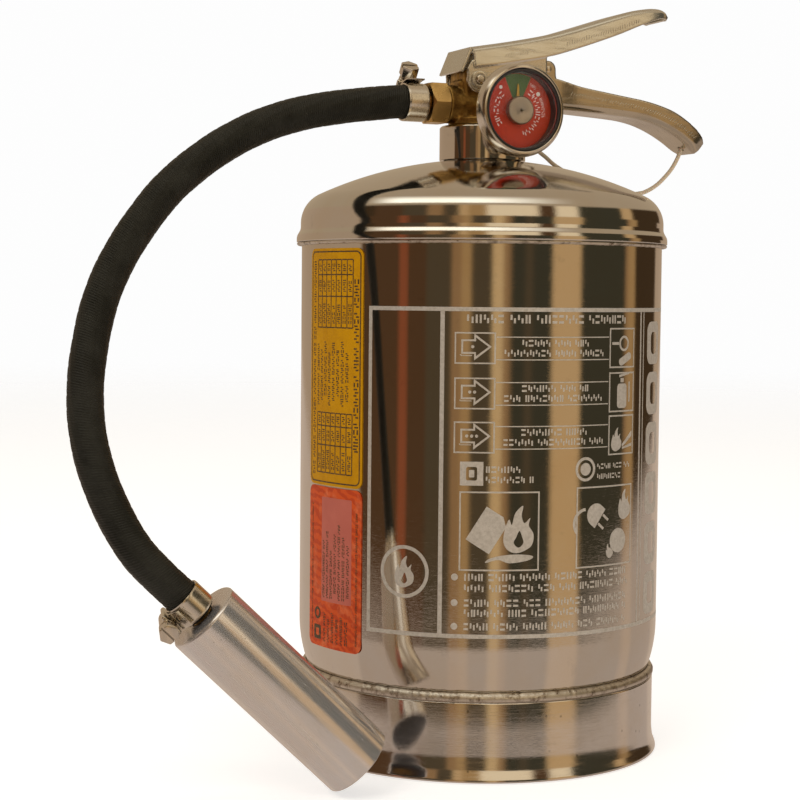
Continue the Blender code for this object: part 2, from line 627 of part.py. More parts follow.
def make_safety_pin():
    axis = across(PIN_X, PIN_Z)
    profile = [(0.0, 16.2 * MM), (PIN_RADIUS, 16.2 * MM), (PIN_RADIUS, PIN_TIP_Y + 0.9 * MM),
               (PIN_RADIUS - 0.6 * MM, PIN_TIP_Y + 0.2 * MM), (0.0, PIN_TIP_Y)]
    pin = turned("safety_pin", profile, BRUSHED, axis, 20, ring=False)
    eye = frame_at((PIN_X, EYE_Y, PIN_Z), (1, 0, 0), (0, 1, 0))
    join(pin, rod("pin_eye", EYE_RADIUS, -1.6 * MM, 1.6 * MM, matrix=eye))
    cut(pin, rod("cut_eye", 1.9 * MM, -5 * MM, 5 * MM, sides=20, matrix=eye))
    torus("pull_ring", RING_RADIUS, RING_WIRE, BRUSHED,
          frame_at((PIN_X, EYE_Y, PIN_Z - RING_RADIUS), (0, 1, 0), (1, 0, 0)), sides=28)


# ---------------------------------------------------------------- gauge

def make_gauge():
    front = at_axis(z=GAUGE_Z) @ FRONT
    wall, case_radius, case_edge = 0.8 * MM, 17.6 * MM, 36.0 * MM
    hole = 4.9 * MM
    floor = GAUGE_BACK + 1.2 * MM
    case = [(case_radius, case_edge), (case_radius, GAUGE_BACK + 2.4 * MM),
            (case_radius - 1.6 * MM, GAUGE_BACK), (hole, GAUGE_BACK), (hole, floor),
            (case_radius - 1.9 * MM, floor), (case_radius - wall, GAUGE_BACK + 2.8 * MM),
            (case_radius - wall, case_edge)]
    turned("gauge_case", case, BRUSHED, front, 28)
    bezel = [(17.2, 38.3), (17.9, 38.05), (18.6, 37.0), (18.95, 35.4), (19.05, 33.8), (19.05, 32.2),
             (17.9, 32.2), (17.9, 36.4), (17.3, 37.0), (16.8, 37.2), (16.8, 38.1)]
    turned("gauge_bezel", [(r * MM, z * MM) for r, z in bezel], POLISHED, front, 28)
    rim = [(16.5, 38.0), (16.5, 31.9), (15.2, 31.9), (15.2, 36.0), (15.7, 36.0), (15.7, 38.0)]
    turned("gauge_gasket", [(r * MM, z * MM) for r, z in rim], BLACK_PLASTIC, front, 28)
    rod("gauge_lens", 15.4 * MM, 36.3 * MM, 37.0 * MM, CLEAR, sides=28, matrix=front)
    dial, half = 16.5 * MM, GAP
    turned("gauge_dial", [(dial, DIAL_DEPTH + half), (dial, DIAL_DEPTH - half),
                          (1.4 * MM, DIAL_DEPTH - half), (1.4 * MM, DIAL_DEPTH + half)], RED,
           front, 28)
    post, cap, cap_low, cap_high = 1.0 * MM, 4.9 * MM, 32.7 * MM, 35.6 * MM
    turned("gauge_hub", [(0.0, cap_high), (cap - 0.3 * MM, cap_high), (cap, cap_high - 0.3 * MM),
                         (cap, cap_low), (post, cap_low), (post, 29.2 * MM), (0.0, 29.2 * MM)],
           BRUSHED, front, 20, ring=False)
    spiral = []
    for i in range(29):
        angle = math.tau * i / 14
        radius = (3.6 + 3.4 * i / 14) * MM
        spiral.append(Vector((VESSEL_X + radius * math.cos(angle), -29.6 * MM,
                              GAUGE_Z + radius * math.sin(angle))))
    tube("bourdon_coil", spiral, 0.6 * MM, BRASS, resolution=1)


def make_needle():
    pointer = arc(0.0, 0.0, 3.0 * MM, 110, 430, 16)
    pointer += [(0.35 * MM, NEEDLE_LENGTH - 0.6 * MM), (0.0, NEEDLE_LENGTH),
                (-0.35 * MM, NEEDLE_LENGTH - 0.6 * MM)]
    front = Matrix.Translation((VESSEL_X, -NEEDLE_DEPTH, GAUGE_Z)) @ FRONT
    needle = outline("gauge_needle", pointer, 0.2 * MM, YELLOW, front)
    cut(needle, rod("cut_needle", 1.4 * MM, -5 * MM, 5 * MM, sides=16, matrix=front))


def make_gauge_stem():
    front = at_axis(z=GAUGE_Z) @ FRONT
    neck, spigot = 3.9 * MM, 4.5 * MM
    bore = 1.0 * MM
    profile = [(bore, 28.6 * MM), (spigot, 28.6 * MM), (spigot, 24 * MM), (neck, 24 * MM),
               (neck, 15 * MM), (GAUGE_THREAD, 15 * MM), (GAUGE_THREAD, 6.9 * MM),
               (bore, 6.9 * MM)]
    stem = turned("gauge_stem", profile, BRASS, front, 24)
    nut = rod("gauge_stem_hex", 7.5 * MM, 21.5 * MM, GAUGE_BACK - GAP, sides=6, matrix=front)
    cut(nut, rod("cut_stem_hex", 3.0 * MM, 15 * MM, 30 * MM, sides=12, matrix=front))
    join(stem, nut)


# ---------------------------------------------------------------- hose and nozzle

def barb_line(start, length):
    """Three saw-tooth ridges from start to start plus length, base to tip."""
    line = []
    for i in range(3):
        base = start + length * i / 3
        line += [(BARB_RADIUS, base), (BARB_RADIUS + 0.4 * MM, base + 0.8 * MM)]
    return line + [(BARB_RADIUS - 0.3 * MM, start + length)]


def make_hose_fitting():
    left = at_axis(z=PORT_Z) @ LEFT
    thread, bore = 5.5 * MM, 2.6 * MM
    barb = barb_line(FITTING_END, BARB_LENGTH)
    profile = list(reversed(barb)) + [(thread, FITTING_END - 1 * MM), (thread, 5.3 * MM),
                                      (bore, 5.3 * MM), (bore, barb[-1][1])]
    fitting = turned("hose_fitting", profile, BRASS, left, 18)
    corner = HEX_FLATS / math.sqrt(3)
    nut = rod("fitting_hex", corner, FITTING_START, FITTING_END, sides=6, matrix=left)
    cut(nut, rod("cut_fitting_hex", 4.0 * MM, 10 * MM, 30 * MM, sides=12, matrix=left))
    join(fitting, nut)


def make_hose():
    route = [p + Vector((VESSEL_X, 0, 0)) for p in HOSE_ROUTE]
    hose = tube("hose", flowing(route, 20), HOSE_RADIUS, RUBBER, resolution=3)
    upper = at_axis(z=PORT_Z) @ LEFT
    lower = frame_at(NOZZLE_TOP, -NOZZLE_WAY, (0, 1, 0))
    cut(hose,
        rod("cut_hose_upper", HOSE_BORE, 20 * MM, FITTING_END + 22 * MM, sides=20, matrix=upper),
        rod("cut_hose_lower", HOSE_BORE, -5 * MM, 21.5 * MM, sides=20, matrix=lower))


def make_clamp(name, place, way, outward):
    """A worm-drive clamp: band, screw housing and slotted hex screw, outward on its screw side."""
    axes = frame_at(place, way, outward)
    half, inner = CLAMP_WIDTH / 2, HOSE_RADIUS + 0.35 * MM
    band = [(CLAMP_RADIUS, half), (CLAMP_RADIUS, -half), (inner, -half), (inner, half)]
    turned(name + "_band", band, BRUSHED, axes, 24)
    housing = block(name + "_housing", (CLAMP_RADIUS + GAP, -6 * MM, -half - 0.4 * MM),
                    (SCREW_REACH + 3 * MM, 5.6 * MM, half + 0.4 * MM), BRUSHED, axes,
                    bevel=0.8 * MM)
    tangent = axes @ Matrix.Translation((SCREW_REACH, 0, 0)) @ Matrix.Rotation(-math.pi / 2, 4, 'X')
    cut(housing, rod("cut_" + name, 2.55 * MM, -9 * MM, 9 * MM, sides=16, matrix=tangent))
    screw = rod(name + "_screw", 2.2 * MM, -7.2 * MM, 8 * MM, BRUSHED, sides=16, matrix=tangent)
    join(screw, rod(name + "_head", 4.0 * MM, 6.4 * MM, 11.4 * MM, sides=6, matrix=tangent))
    cut(screw, block("cut_slot_" + name, (-0.5 * MM, -6 * MM, 10 * MM), (0.5 * MM, 6 * MM, 14 * MM),
                     matrix=tangent))


def make_nozzle():
    axes = frame_at(NOZZLE_TOP, -NOZZLE_WAY, (0, 1, 0))
    hole, end_wall, inner = 5.0 * MM, 2.2 * MM, NOZZLE_RADIUS - NOZZLE_WALL
    horn = [(hole, 0.0), (NOZZLE_RADIUS - 0.7 * MM, 0.0), (NOZZLE_RADIUS, -0.7 * MM),
            (NOZZLE_RADIUS, -NOZZLE_LENGTH), (inner, -NOZZLE_LENGTH), (inner, -end_wall),
            (hole, -end_wall)]
    turned("nozzle_horn", horn, BRUSHED, axes, 32)
    neck, bore, flange = 4.6 * MM, 2.4 * MM, 9.0 * MM
    barb = barb_line(0.6 * MM, BARB_LENGTH - 0.6 * MM)
    inner_part = [(neck, 0.0), (neck, -end_wall - GAP), (flange, -end_wall - GAP),
                  (flange, -end_wall - 2.6 * MM), (bore, -end_wall - 2.6 * MM),
                  (bore, barb[-1][1])]
    turned("nozzle_barb", list(reversed(barb)) + inner_part, BRASS, axes, 18)
    disc, high, low = inner - 0.35 * MM, -14 * MM, -16 * MM
    turned("nozzle_orifice", [(disc, high), (disc, low), (bore, low), (bore, high)], BRASS, axes, 24)


make_body_shell()
make_top_dome()
make_welds()
make_foot_ring()
make_neck()
make_label("warranty_label", 113.4 * MM, 209.4 * MM, YELLOW)
make_label("service_label", 47.0 * MM, 112.8 * MM, ORANGE)
make_valve_body()
make_stem()
make_spring()
make_siphon()
make_handle()
make_lever()
make_pins()
make_safety_pin()
make_gauge()
make_needle()
make_gauge_stem()
make_hose_fitting()
make_hose()
make_clamp("upper_clamp", UPPER_CLAMP, (1, 0, 0),
           (0, math.cos(math.radians(35)), math.sin(math.radians(35))))
make_clamp("lower_clamp", LOWER_CLAMP, -NOZZLE_WAY, (-0.614, 0.299, -0.73))
make_nozzle()
tube("pin_tether", flowing([p + Vector((VESSEL_X, 0, 0)) for p in TETHER_ROUTE], 30),
     TETHER_RADIUS, IVORY)
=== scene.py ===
"""The looks of a stored-pressure fire extinguisher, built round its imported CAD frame.

Everything is in metres in the frame of the part; MM turns millimetres into them. Places are
measured from the vessel's axis, as they are in the part's own source.
"""
import math
import random

import bmesh
import bpy
from mathutils import Matrix, Vector, noise


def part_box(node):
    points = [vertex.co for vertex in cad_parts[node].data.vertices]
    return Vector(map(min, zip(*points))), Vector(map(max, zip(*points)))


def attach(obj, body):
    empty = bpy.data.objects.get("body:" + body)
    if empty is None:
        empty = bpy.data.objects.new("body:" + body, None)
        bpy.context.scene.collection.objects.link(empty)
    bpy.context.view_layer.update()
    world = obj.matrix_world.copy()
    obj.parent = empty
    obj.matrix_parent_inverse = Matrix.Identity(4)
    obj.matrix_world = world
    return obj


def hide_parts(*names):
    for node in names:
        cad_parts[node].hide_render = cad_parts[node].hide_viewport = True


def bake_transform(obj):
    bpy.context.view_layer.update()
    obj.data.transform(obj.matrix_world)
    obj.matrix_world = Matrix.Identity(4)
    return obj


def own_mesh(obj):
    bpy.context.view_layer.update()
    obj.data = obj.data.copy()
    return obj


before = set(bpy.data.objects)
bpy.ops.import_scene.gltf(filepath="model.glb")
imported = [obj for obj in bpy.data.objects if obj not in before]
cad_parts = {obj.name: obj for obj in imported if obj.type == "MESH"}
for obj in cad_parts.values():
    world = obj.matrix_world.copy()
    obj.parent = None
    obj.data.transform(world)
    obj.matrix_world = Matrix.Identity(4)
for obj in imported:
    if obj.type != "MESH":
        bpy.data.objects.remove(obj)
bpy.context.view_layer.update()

MM = 0.001
VESSEL_LOW, VESSEL_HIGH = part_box("foot_ring")
AXIS_X = (VESSEL_LOW.x + VESSEL_HIGH.x) / 2

# Camera, seen from the gauge's side and a little to its left
VIEW_TURN = math.radians(-26.0)
CAMERA_PLACE = Vector((-3.8, -818.7, 192.0)) * MM
CAMERA_PAN, CAMERA_TILT, CAMERA_ROLL = (math.radians(a) for a in (2.11, -3.22, -0.54))
CAMERA_LENS = 86.27


# ---------------------------------------------------------------- places

def at_axis(x=0.0, y=0.0, z=0.0):
    return Matrix.Translation((AXIS_X + x, y, z))


def frame_at(point, forward, right):
    """Axes at a point from the vessel's axis: Z along forward, X close to right."""
    z_axis = Vector(forward).normalized()
    y_axis = z_axis.cross(Vector(right)).normalized()
    x_axis = y_axis.cross(z_axis)
    turn = Matrix((x_axis, y_axis, z_axis)).transposed().to_4x4()
    return at_axis(*point) @ turn


FRONT = Matrix.Rotation(math.radians(90), 4, 'X')
LEFT = frame_at((0, 0, 0), (-1, 0, 0), (0, 0, 1)).to_3x3().to_4x4()


def across(x, z):
    """Axes at a place in the XZ plane with local Z along +Y."""
    return frame_at((x, 0.0, z), (0, 1, 0), (1, 0, 0))


def mm(*values):
    return [v * MM for v in values]


# ---------------------------------------------------------------- camera

def make_camera():
    data = bpy.data.cameras.new("photo_camera")
    data.sensor_width = 36.0
    data.lens = CAMERA_LENS
    data.clip_start, data.clip_end = 0.01, 100.0
    camera = bpy.data.objects.new("photo_camera", data)
    bpy.context.scene.collection.objects.link(camera)
    turn = (Matrix.Rotation(VIEW_TURN + CAMERA_PAN, 3, 'Z') @ Matrix.Rotation(CAMERA_TILT, 3, 'X')
            @ Matrix.Rotation(CAMERA_ROLL, 3, 'Y'))
    right, forward, up = turn.col[0], turn.col[1], turn.col[2]
    matrix = Matrix((right, up, -forward)).transposed().to_4x4()
    matrix.translation = Matrix.Rotation(VIEW_TURN, 3, 'Z') @ CAMERA_PLACE + Vector((AXIS_X, 0, 0))
    camera.matrix_world = matrix
    bpy.context.scene.camera = camera


make_camera()


# ---------------------------------------------------------------- materials

class Nodes:
    """A node tree and short ways to add nodes to it."""

    def __init__(self, tree):
        self.tree = tree

    def add(self, kind, **settings):
        node = self.tree.nodes.new(kind)
        for key, value in settings.items():
            setattr(node, key, value)
        return node

    def link(self, source, target):
        if isinstance(source, (int, float)):
            target.default_value = source
        elif isinstance(source, tuple):
            same = len(target.default_value) == len(source)
            target.default_value = source if same else (*source, 1.0)
        else:
            self.tree.links.new(source, target)

    def span(self, source, low, high, to_low=0.0, to_high=1.0, **settings):
        """The source's range from low to high, moved to another range and clamped."""
        node = self.add('ShaderNodeMapRange', **settings)
        for key, value in (("Value", source), ("From Min", low), ("From Max", high),
                           ("To Min", to_low), ("To Max", to_high)):
            self.link(value, node.inputs[key])
        return node.outputs["Result"]

    def eased_span(self, source, low, high):
        return self.span(source, low, high, interpolation_type='SMOOTHSTEP')

    def maths(self, operation, one, two):
        node = self.add('ShaderNodeMath', operation=operation)
        self.link(one, node.inputs[0])
        self.link(two, node.inputs[1])
        return node.outputs["Value"]

    def mix(self, share, one, two):
        node = self.add('ShaderNodeMix', data_type='RGBA')
        self.link(share, node.inputs["Factor"])
        for value, index in ((one, 6), (two, 7)):
            self.link(value, node.inputs[index])
        return node.outputs[2]


class Look(Nodes):
    """A Principled material and short ways to shape its surface."""

    def __init__(self, name, colour, metallic=0.0, rough=0.5, **sockets):
        self.material = bpy.data.materials.new(name)
        self.material.use_nodes = True
        super().__init__(self.material.node_tree)
        self.shader = self.tree.nodes["Principled BSDF"]
        self.shader.inputs["Base Color"].default_value = (*colour, 1.0)
        self.shader.inputs["Metallic"].default_value = metallic
        self.shader.inputs["Roughness"].default_value = rough
        for key, value in sockets.items():
            self.shader.inputs[key.replace("_", " ")].default_value = value
        self.place = self.add('ShaderNodeTexCoord').outputs["Object"]
        self.bent = None

    def stretched(self, x, y, z, turn=(0, 0, 0), source=None):
        node = self.add('ShaderNodeMapping')
        node.inputs["Scale"].default_value = (x, y, z)
        node.inputs["Rotation"].default_value = [math.radians(a) for a in turn]
        self.link(source or self.place, node.inputs["Vector"])
        return node.outputs["Vector"]

    def texture(self, kind, output, place, values, **settings):
        """A texture node's output, with the values of its sockets."""
        node = self.add(kind, **settings)
        for key, value in values.items():
            node.inputs[key].default_value = value
        self.link(place or self.place, node.inputs["Vector"])
        return node.outputs[output]

    def noise(self, scale, detail=4.0, rough=0.55, place=None):
        return self.texture('ShaderNodeTexNoise', "Fac", place,
                            {"Scale": scale, "Detail": detail, "Roughness": rough})

    def cells(self, scale):
        return self.texture('ShaderNodeTexVoronoi', "Distance", None, {"Scale": scale})

    def wave(self, scale, warp, place, direction='X'):
        return self.texture('ShaderNodeTexWave', "Fac", place,
                            {"Scale": scale, "Distortion": warp}, bands_direction=direction)

    def colour(self, source):
        self.link(source, self.shader.inputs["Base Color"])

    def rough(self, source):
        self.link(source, self.shader.inputs["Roughness"])

    def bump(self, height, distance, strength=1.0):
        node = self.add('ShaderNodeBump')
        node.inputs["Distance"].default_value = distance
        node.inputs["Strength"].default_value = strength
        self.link(height, node.inputs["Height"])
        if self.bent is not None:
            self.link(self.bent, node.inputs["Normal"])
        self.bent = node.outputs["Normal"]
        self.link(self.bent, self.shader.inputs["Normal"])

    def edges(self):
        """Painted highlight along edges, from 0 on flats to 1 on convex edges."""
        node = self.add('ShaderNodeNewGeometry')
        return self.span(node.outputs["Pointiness"], 0.505, 0.56)


def steel(name, colour, rough, wave_height, scratch, grain, smudge=0.05, spots=0.0, metallic=1.0):
    """A stainless finish: low waves, stretched scratches, smudges and a few dark spots."""
    look = Look(name, colour, metallic=metallic, rough=rough)
    lines = look.noise(1.0, 3.0, 0.6, look.stretched(*grain))
    fine = look.noise(1.0, 2.0, 0.7, look.stretched(*(g * 3.1 for g in grain)))
    cloud = look.noise(34.0, 5.0, 0.62)
    stain = look.noise(150.0, 4.0, 0.6)
    dull = tuple(c * 0.8 for c in colour)
    warm = (colour[0] * 0.99, colour[1] * 0.95, colour[2] * 0.89)
    shade = look.mix(look.span(cloud, 0.42, 0.7), colour, warm)
    shade = look.mix(look.span(stain, 0.62, 0.78, 0.0, 0.55), shade, dull)
    if spots:
        pits = look.cells(spots)
        deep = tuple(c * 0.25 for c in colour)
        shade = look.mix(look.span(pits, 0.0, 0.11, 0.75, 0.0), shade, deep)
    look.colour(shade)
    look.rough(look.maths('ADD', look.span(lines, 0.45, 0.75, rough, rough + scratch),
                          look.span(cloud, 0.45, 0.75, 0.0, smudge)))
    look.bump(look.noise(21.0, 1.0, 0.4), wave_height)
    look.bump(fine, 0.00002, 0.5)
    return look


def brass(name, colour, rough, cast):
    look = Look(name, colour, metallic=1.0, rough=rough)
    cloud = look.noise(190.0, 5.0, 0.65)
    spots = look.cells(700.0)
    dark = (colour[0] * 0.34, colour[1] * 0.3, colour[2] * 0.28)
    shade = look.mix(look.span(cloud, 0.4, 0.66), colour, dark)
    shade = look.mix(look.span(spots, 0.05, 0.3, 0.35, 0.0), shade, dark)
    # convex edges are painted lighter: a painted highlight along the casting's edges
    edge_highlight = tuple(min(1.0, c * 1.35) for c in colour)
    look.colour(look.mix(look.edges(), shade, edge_highlight))
    look.rough(look.span(cloud, 0.35, 0.7, rough, rough + 0.22))
    look.bump(look.noise(420.0, 6.0, 0.7), cast)
    look.bump(look.noise(2600.0, 3.0, 0.6), cast * 0.3)
    return look


def mottled(name, rough, pattern, one, two, grain, depth, **sockets):
    """A plain look between two colours by a noise, with a fine grain."""
    look = Look(name, one, rough=rough, **sockets)
    look.colour(look.mix(look.noise(*pattern), one, two))
    look.bump(look.noise(grain), depth)
    return look


def make_materials():
    looks = {}
    looks["polished"] = steel("polished_stainless", (0.68, 0.65, 0.61), 0.035, 0.00016, 0.05,
                              (60.0, 60.0, 1500.0), smudge=0.05)
    looks["dome"] = steel("dome_stainless", (0.7, 0.68, 0.65), 0.04, 0.00022, 0.05,
                          (900.0, 900.0, 900.0), smudge=0.06)
    looks["ring"] = steel("ring_stainless", (0.72, 0.7, 0.68), 0.07, 0.00035, 0.12,
                          (70.0, 70.0, 1700.0), smudge=0.1, spots=150.0)
    looks["nozzle"] = steel("nozzle_steel", (0.72, 0.69, 0.68), 0.11, 0.00007, 0.15,
                            (1300.0, 1300.0, 45.0), smudge=0.09, spots=330.0, metallic=0.8)
    looks["stamped"] = steel("stamped_steel", (0.67, 0.65, 0.58), 0.17, 0.00016, 0.16,
                             (60.0, 500.0, 500.0), smudge=0.08, spots=420.0, metallic=0.92)
    looks["grip"] = steel("handle_steel", (0.52, 0.48, 0.41), 0.13, 0.00016, 0.18,
                          (60.0, 500.0, 500.0), smudge=0.1, spots=420.0)
    looks["clamp"] = steel("clamp_steel", (0.74, 0.71, 0.65), 0.2, 0.00004, 0.1,
                           (500.0, 500.0, 500.0), smudge=0.08, spots=500.0)
    looks["turned"] = steel("turned_steel", (0.7, 0.66, 0.6), 0.16, 0.00003, 0.1,
                            (300.0, 300.0, 2500.0), smudge=0.05)
    looks["spring"] = steel("spring_wire", (0.5, 0.49, 0.47), 0.3, 0.00002, 0.1,
                            (500.0, 500.0, 500.0))

    weld = Look("weld_bead", (0.5, 0.42, 0.34), metallic=1.0, rough=0.35)
    cloud = weld.noise(260.0, 6.0, 0.7)
    burnt = weld.noise(75.0, 4.0, 0.6)
    tone = weld.mix(weld.span(cloud, 0.34, 0.5), (0.24, 0.19, 0.15), (0.7, 0.66, 0.6))
    weld.colour(weld.mix(weld.span(burnt, 0.6, 0.72), tone, (0.1, 0.075, 0.055)))
    weld.rough(weld.span(cloud, 0.3, 0.7, 0.22, 0.5))
    weld.bump(weld.noise(900.0, 5.0, 0.7), 0.0002)
    looks["weld"] = weld

    looks["cast_brass"] = brass("cast_brass", (0.52, 0.33, 0.1), 0.3, 0.00028)
    looks["turned_brass"] = brass("turned_brass", (0.56, 0.38, 0.15), 0.24, 0.00007)

    hose = Look("hose_rubber", (0.012, 0.012, 0.009), rough=0.5, Specular_IOR_Level=0.32)
    dust = hose.noise(60.0, 5.0, 0.65)
    grit = hose.noise(900.0, 3.0, 0.6)
    tone = hose.mix(hose.span(dust, 0.4, 0.68), (0.007, 0.0075, 0.005), (0.021, 0.02, 0.014))
    hose.colour(hose.mix(hose.span(grit, 0.6, 0.85, 0.0, 0.4), tone, (0.05, 0.045, 0.034)))
    hose.rough(hose.span(dust, 0.35, 0.7, 0.42, 0.62))
    along = hose.add('ShaderNodeUVMap').outputs["UV"]
    weave = hose.wave(1.0, 1.2, hose.stretched(7.0, 640.0, 1.0, source=along), 'DIAGONAL')
    hose.bump(weave, 0.00016)
    hose.bump(grit, 0.00003)
    looks["hose"] = hose

    looks["seal"] = mottled("seal_rubber", 0.65, (500.0,), (0.012, 0.012, 0.012),
                            (0.045, 0.042, 0.04), 2500.0, 0.00004)
    # black for the lining inside the gauge bezel: painted shade and dark reflection of the bezel's
    # inner wall
    looks["black"] = mottled("bezel_shade_lining", 0.35, (300.0,), (0.012, 0.012, 0.012),
                             (0.035, 0.032, 0.03), 3500.0, 0.00003)
    looks["pink"] = mottled("label_window", 0.45, (90.0, 5.0), (0.56, 0.15, 0.1),
                            (0.42, 0.09, 0.06), 1200.0, 0.00002, Specular_IOR_Level=0.2)
    looks["ivory"] = mottled("siphon_plastic", 0.45, (120.0,), (0.72, 0.67, 0.55),
                             (0.6, 0.54, 0.4), 900.0, 0.00004)
    looks["cord"] = mottled("tether_cord", 0.45, (260.0, 4.0), (0.66, 0.54, 0.38),
                            (0.54, 0.43, 0.29), 2200.0, 0.00005, Subsurface_Weight=0.15,
                            Subsurface_Scale=0.002)

    looks["glass"] = Look("gauge_glass", (1.0, 1.0, 1.0), rough=0.03, Transmission_Weight=1.0,
                          IOR=1.22)
    haze = looks["glass"].noise(160.0, 4.0, 0.6)
    looks["glass"].rough(looks["glass"].span(haze, 0.45, 0.8, 0.01, 0.12))

    # printed and painted parts of the dial
    for key, colour, dark in (("red", (0.5, 0.036, 0.011), (0.34, 0.024, 0.008)),
                              ("green", (0.055, 0.105, 0.016), (0.03, 0.07, 0.01)),
                              ("print", (0.8, 0.74, 0.66), (0.6, 0.52, 0.45)),
                              ("needle", (0.55, 0.29, 0.025), (0.38, 0.19, 0.015))):
        paint = Look("dial_" + key, colour, rough=0.5, Specular_IOR_Level=0.2)
        paint.colour(paint.mix(paint.span(paint.noise(700.0, 5.0, 0.7), 0.35, 0.75), colour, dark))
        paint.rough(paint.span(paint.noise(350.0), 0.3, 0.7, 0.35, 0.55))
        paint.bump(paint.noise(4000.0), 0.00002)
        looks[key] = paint

    yellow = Look("yellow_label", (0.52, 0.23, 0.003), rough=0.5, Specular_IOR_Level=0.06)
    wear = yellow.noise(120.0, 6.0, 0.7)
    yellow.colour(yellow.mix(yellow.span(wear, 0.42, 0.8), (0.54, 0.25, 0.002),
                             (0.42, 0.18, 0.002)))
    yellow.rough(yellow.span(wear, 0.3, 0.7, 0.28, 0.5))
    yellow.bump(yellow.noise(240.0, 4.0), 0.00012)
    looks["yellow"] = yellow

    orange = Look("orange_label", (0.55, 0.07, 0.015), rough=0.5, Specular_IOR_Level=0.08)
    wear = orange.noise(130.0, 6.0, 0.7)
    curl = orange.wave(150.0, 7.0, orange.stretched(1.0, 1.0, 1.0, (0, 35, 0)))
    tone = orange.mix(orange.span(curl, 0.3, 0.7), (0.6, 0.08, 0.014), (0.48, 0.055, 0.012))
    orange.colour(orange.mix(orange.span(wear, 0.5, 0.85), tone, (0.72, 0.22, 0.09)))
    orange.rough(orange.span(wear, 0.3, 0.7, 0.28, 0.5))
    orange.bump(orange.noise(240.0, 4.0), 0.00012)
    looks["orange"] = orange

    ink = Look("label_ink", (0.05, 0.03, 0.01), rough=0.5)
    ink.colour(ink.mix(ink.span(ink.noise(900.0, 4.0), 0.4, 0.75), (0.045, 0.022, 0.006),
                       (0.16, 0.08, 0.015)))
    ink.bump(ink.noise(2500.0), 0.00002)
    looks["ink"] = ink

    etched = Look("etched_marks", (0.55, 0.49, 0.41), metallic=0.55, rough=0.5)
    frost = etched.noise(650.0, 5.0, 0.7)
    etched.colour(etched.mix(etched.span(frost, 0.35, 0.75), (0.68, 0.63, 0.56),
                             (0.48, 0.43, 0.36)))
    etched.rough(etched.span(frost, 0.3, 0.7, 0.42, 0.62))
    etched.bump(etched.noise(5000.0), 0.00002)
    looks["etched"] = etched

    hub = Look("brushed_hub", (0.6, 0.55, 0.49), metallic=1.0, rough=0.3)
    turnings = hub.noise(1.0, 3.0, 0.7, hub.stretched(2600.0, 2600.0, 30.0))
    hub.colour(hub.mix(hub.span(turnings, 0.35, 0.65), (0.34, 0.27, 0.19), (0.15, 0.115, 0.075)))
    hub.rough(hub.span(turnings, 0.3, 0.7, 0.3, 0.5))
    hub.bump(turnings, 0.00005)
    looks["hub"] = hub

    return {key: look.material for key, look in looks.items()}


MATERIALS = make_materials()


# ---------------------------------------------------------------- mesh helpers

def piece(name, mesh, look, body, nodes=(), matrix=None, sharp=35.0):
    """A finished piece: it rides on a body and stands for the CAD nodes named."""
    thing = loose(name, mesh, matrix)
    mesh.materials.clear()
    mesh.materials.append(MATERIALS[look])
    if sharp:
        mesh.shade_smooth()
        mesh.set_sharp_from_angle(angle=math.radians(sharp))
    if body:
        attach(thing, body)
    if nodes:
        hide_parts(*nodes)
    return thing


def built(name, shape):
    """A mesh from a bmesh, which is freed."""
    bmesh.ops.recalc_face_normals(shape, faces=shape.faces[:])
    mesh = bpy.data.meshes.new(name)
    shape.to_mesh(mesh)
    shape.free()
    return mesh


def evaluated(thing):
    """The object's mesh with its modifiers applied; the object is removed."""
    bpy.context.view_layer.update()
    source = thing.evaluated_get(bpy.context.evaluated_depsgraph_get())
    mesh = bpy.data.meshes.new_from_object(source)
    mesh.transform(thing.matrix_world)
    bpy.data.objects.remove(thing, do_unlink=True)
    return mesh


def boolean(thing, operation, other, use_self=False):
    change = thing.modifiers.new("boolean", 'BOOLEAN')
    change.operation, change.solver, change.object = operation, 'EXACT', other
    change.use_self = use_self


def loose(name, mesh, matrix=None):
    """An object in the scene without a material, to build with."""
    thing = bpy.data.objects.new(name, mesh)
    bpy.context.scene.collection.objects.link(thing)
    if matrix is not None:
        thing.matrix_world = matrix
    return thing


def arc(centre_x, centre_y, radius, start, end, count):
    """Points on a circle, angles in degrees."""
    turns = [math.radians(start + (end - start) * i / count) for i in range(count + 1)]
    return [(centre_x + radius * math.cos(t), centre_y + radius * math.sin(t)) for t in turns]


def eased(profile, radius, steps=4, closed=True, limit=140.0):
    """A profile with its corners rounded; corners flatter than the limit are left."""
    count = len(profile)
    points = [Vector(p) for p in profile]
    result = []
    for i, corner in enumerate(points):
        if not closed and i in (0, count - 1):
            result.append(tuple(corner))
            continue
        before, after = points[i - 1], points[(i + 1) % count]
        one, two = before - corner, after - corner
        if math.degrees(one.angle(two)) > limit:
            result.append(tuple(corner))
            continue
        reach = min(radius, one.length * 0.45, two.length * 0.45)
        start, end = corner + one.normalized() * reach, corner + two.normalized() * reach
        for k in range(steps + 1):
            t = k / steps
            result.append(tuple(start * (1 - t) ** 2 + corner * 2 * t * (1 - t) + end * t * t))
    return result


def skinned(shape, rows, closed=True):
    """Faces between neighbouring rows of vertices, each row a loop or an open line."""
    count = len(rows[0])
    for one, two in zip(rows, rows[1:]):
        for j in range(count if closed else count - 1):
            k = (j + 1) % count
            shape.faces.new((one[j], one[k], two[k], two[j]))


def turned(name, profile, steps=128, closed=True, shift=None):
    """A mesh of a profile of (radius, height) turned about the local Z axis.

    shift(angle, radius, height) may return a moved radius and height.
    """
    shape = bmesh.new()
    rows = []
    for i in range(steps):
        angle = math.tau * i / steps
        c, s = math.cos(angle), math.sin(angle)
        row = []
        for radius, height in profile:
            if shift and radius > 0:
                radius, height = shift(angle, radius, height)
            row.append(shape.verts.new((radius * c, radius * s, height)))
        rows.append(row)
    skinned(shape, rows + rows[:1], closed)
    bmesh.ops.remove_doubles(shape, verts=shape.verts[:], dist=1e-7)
    return built(name, shape)


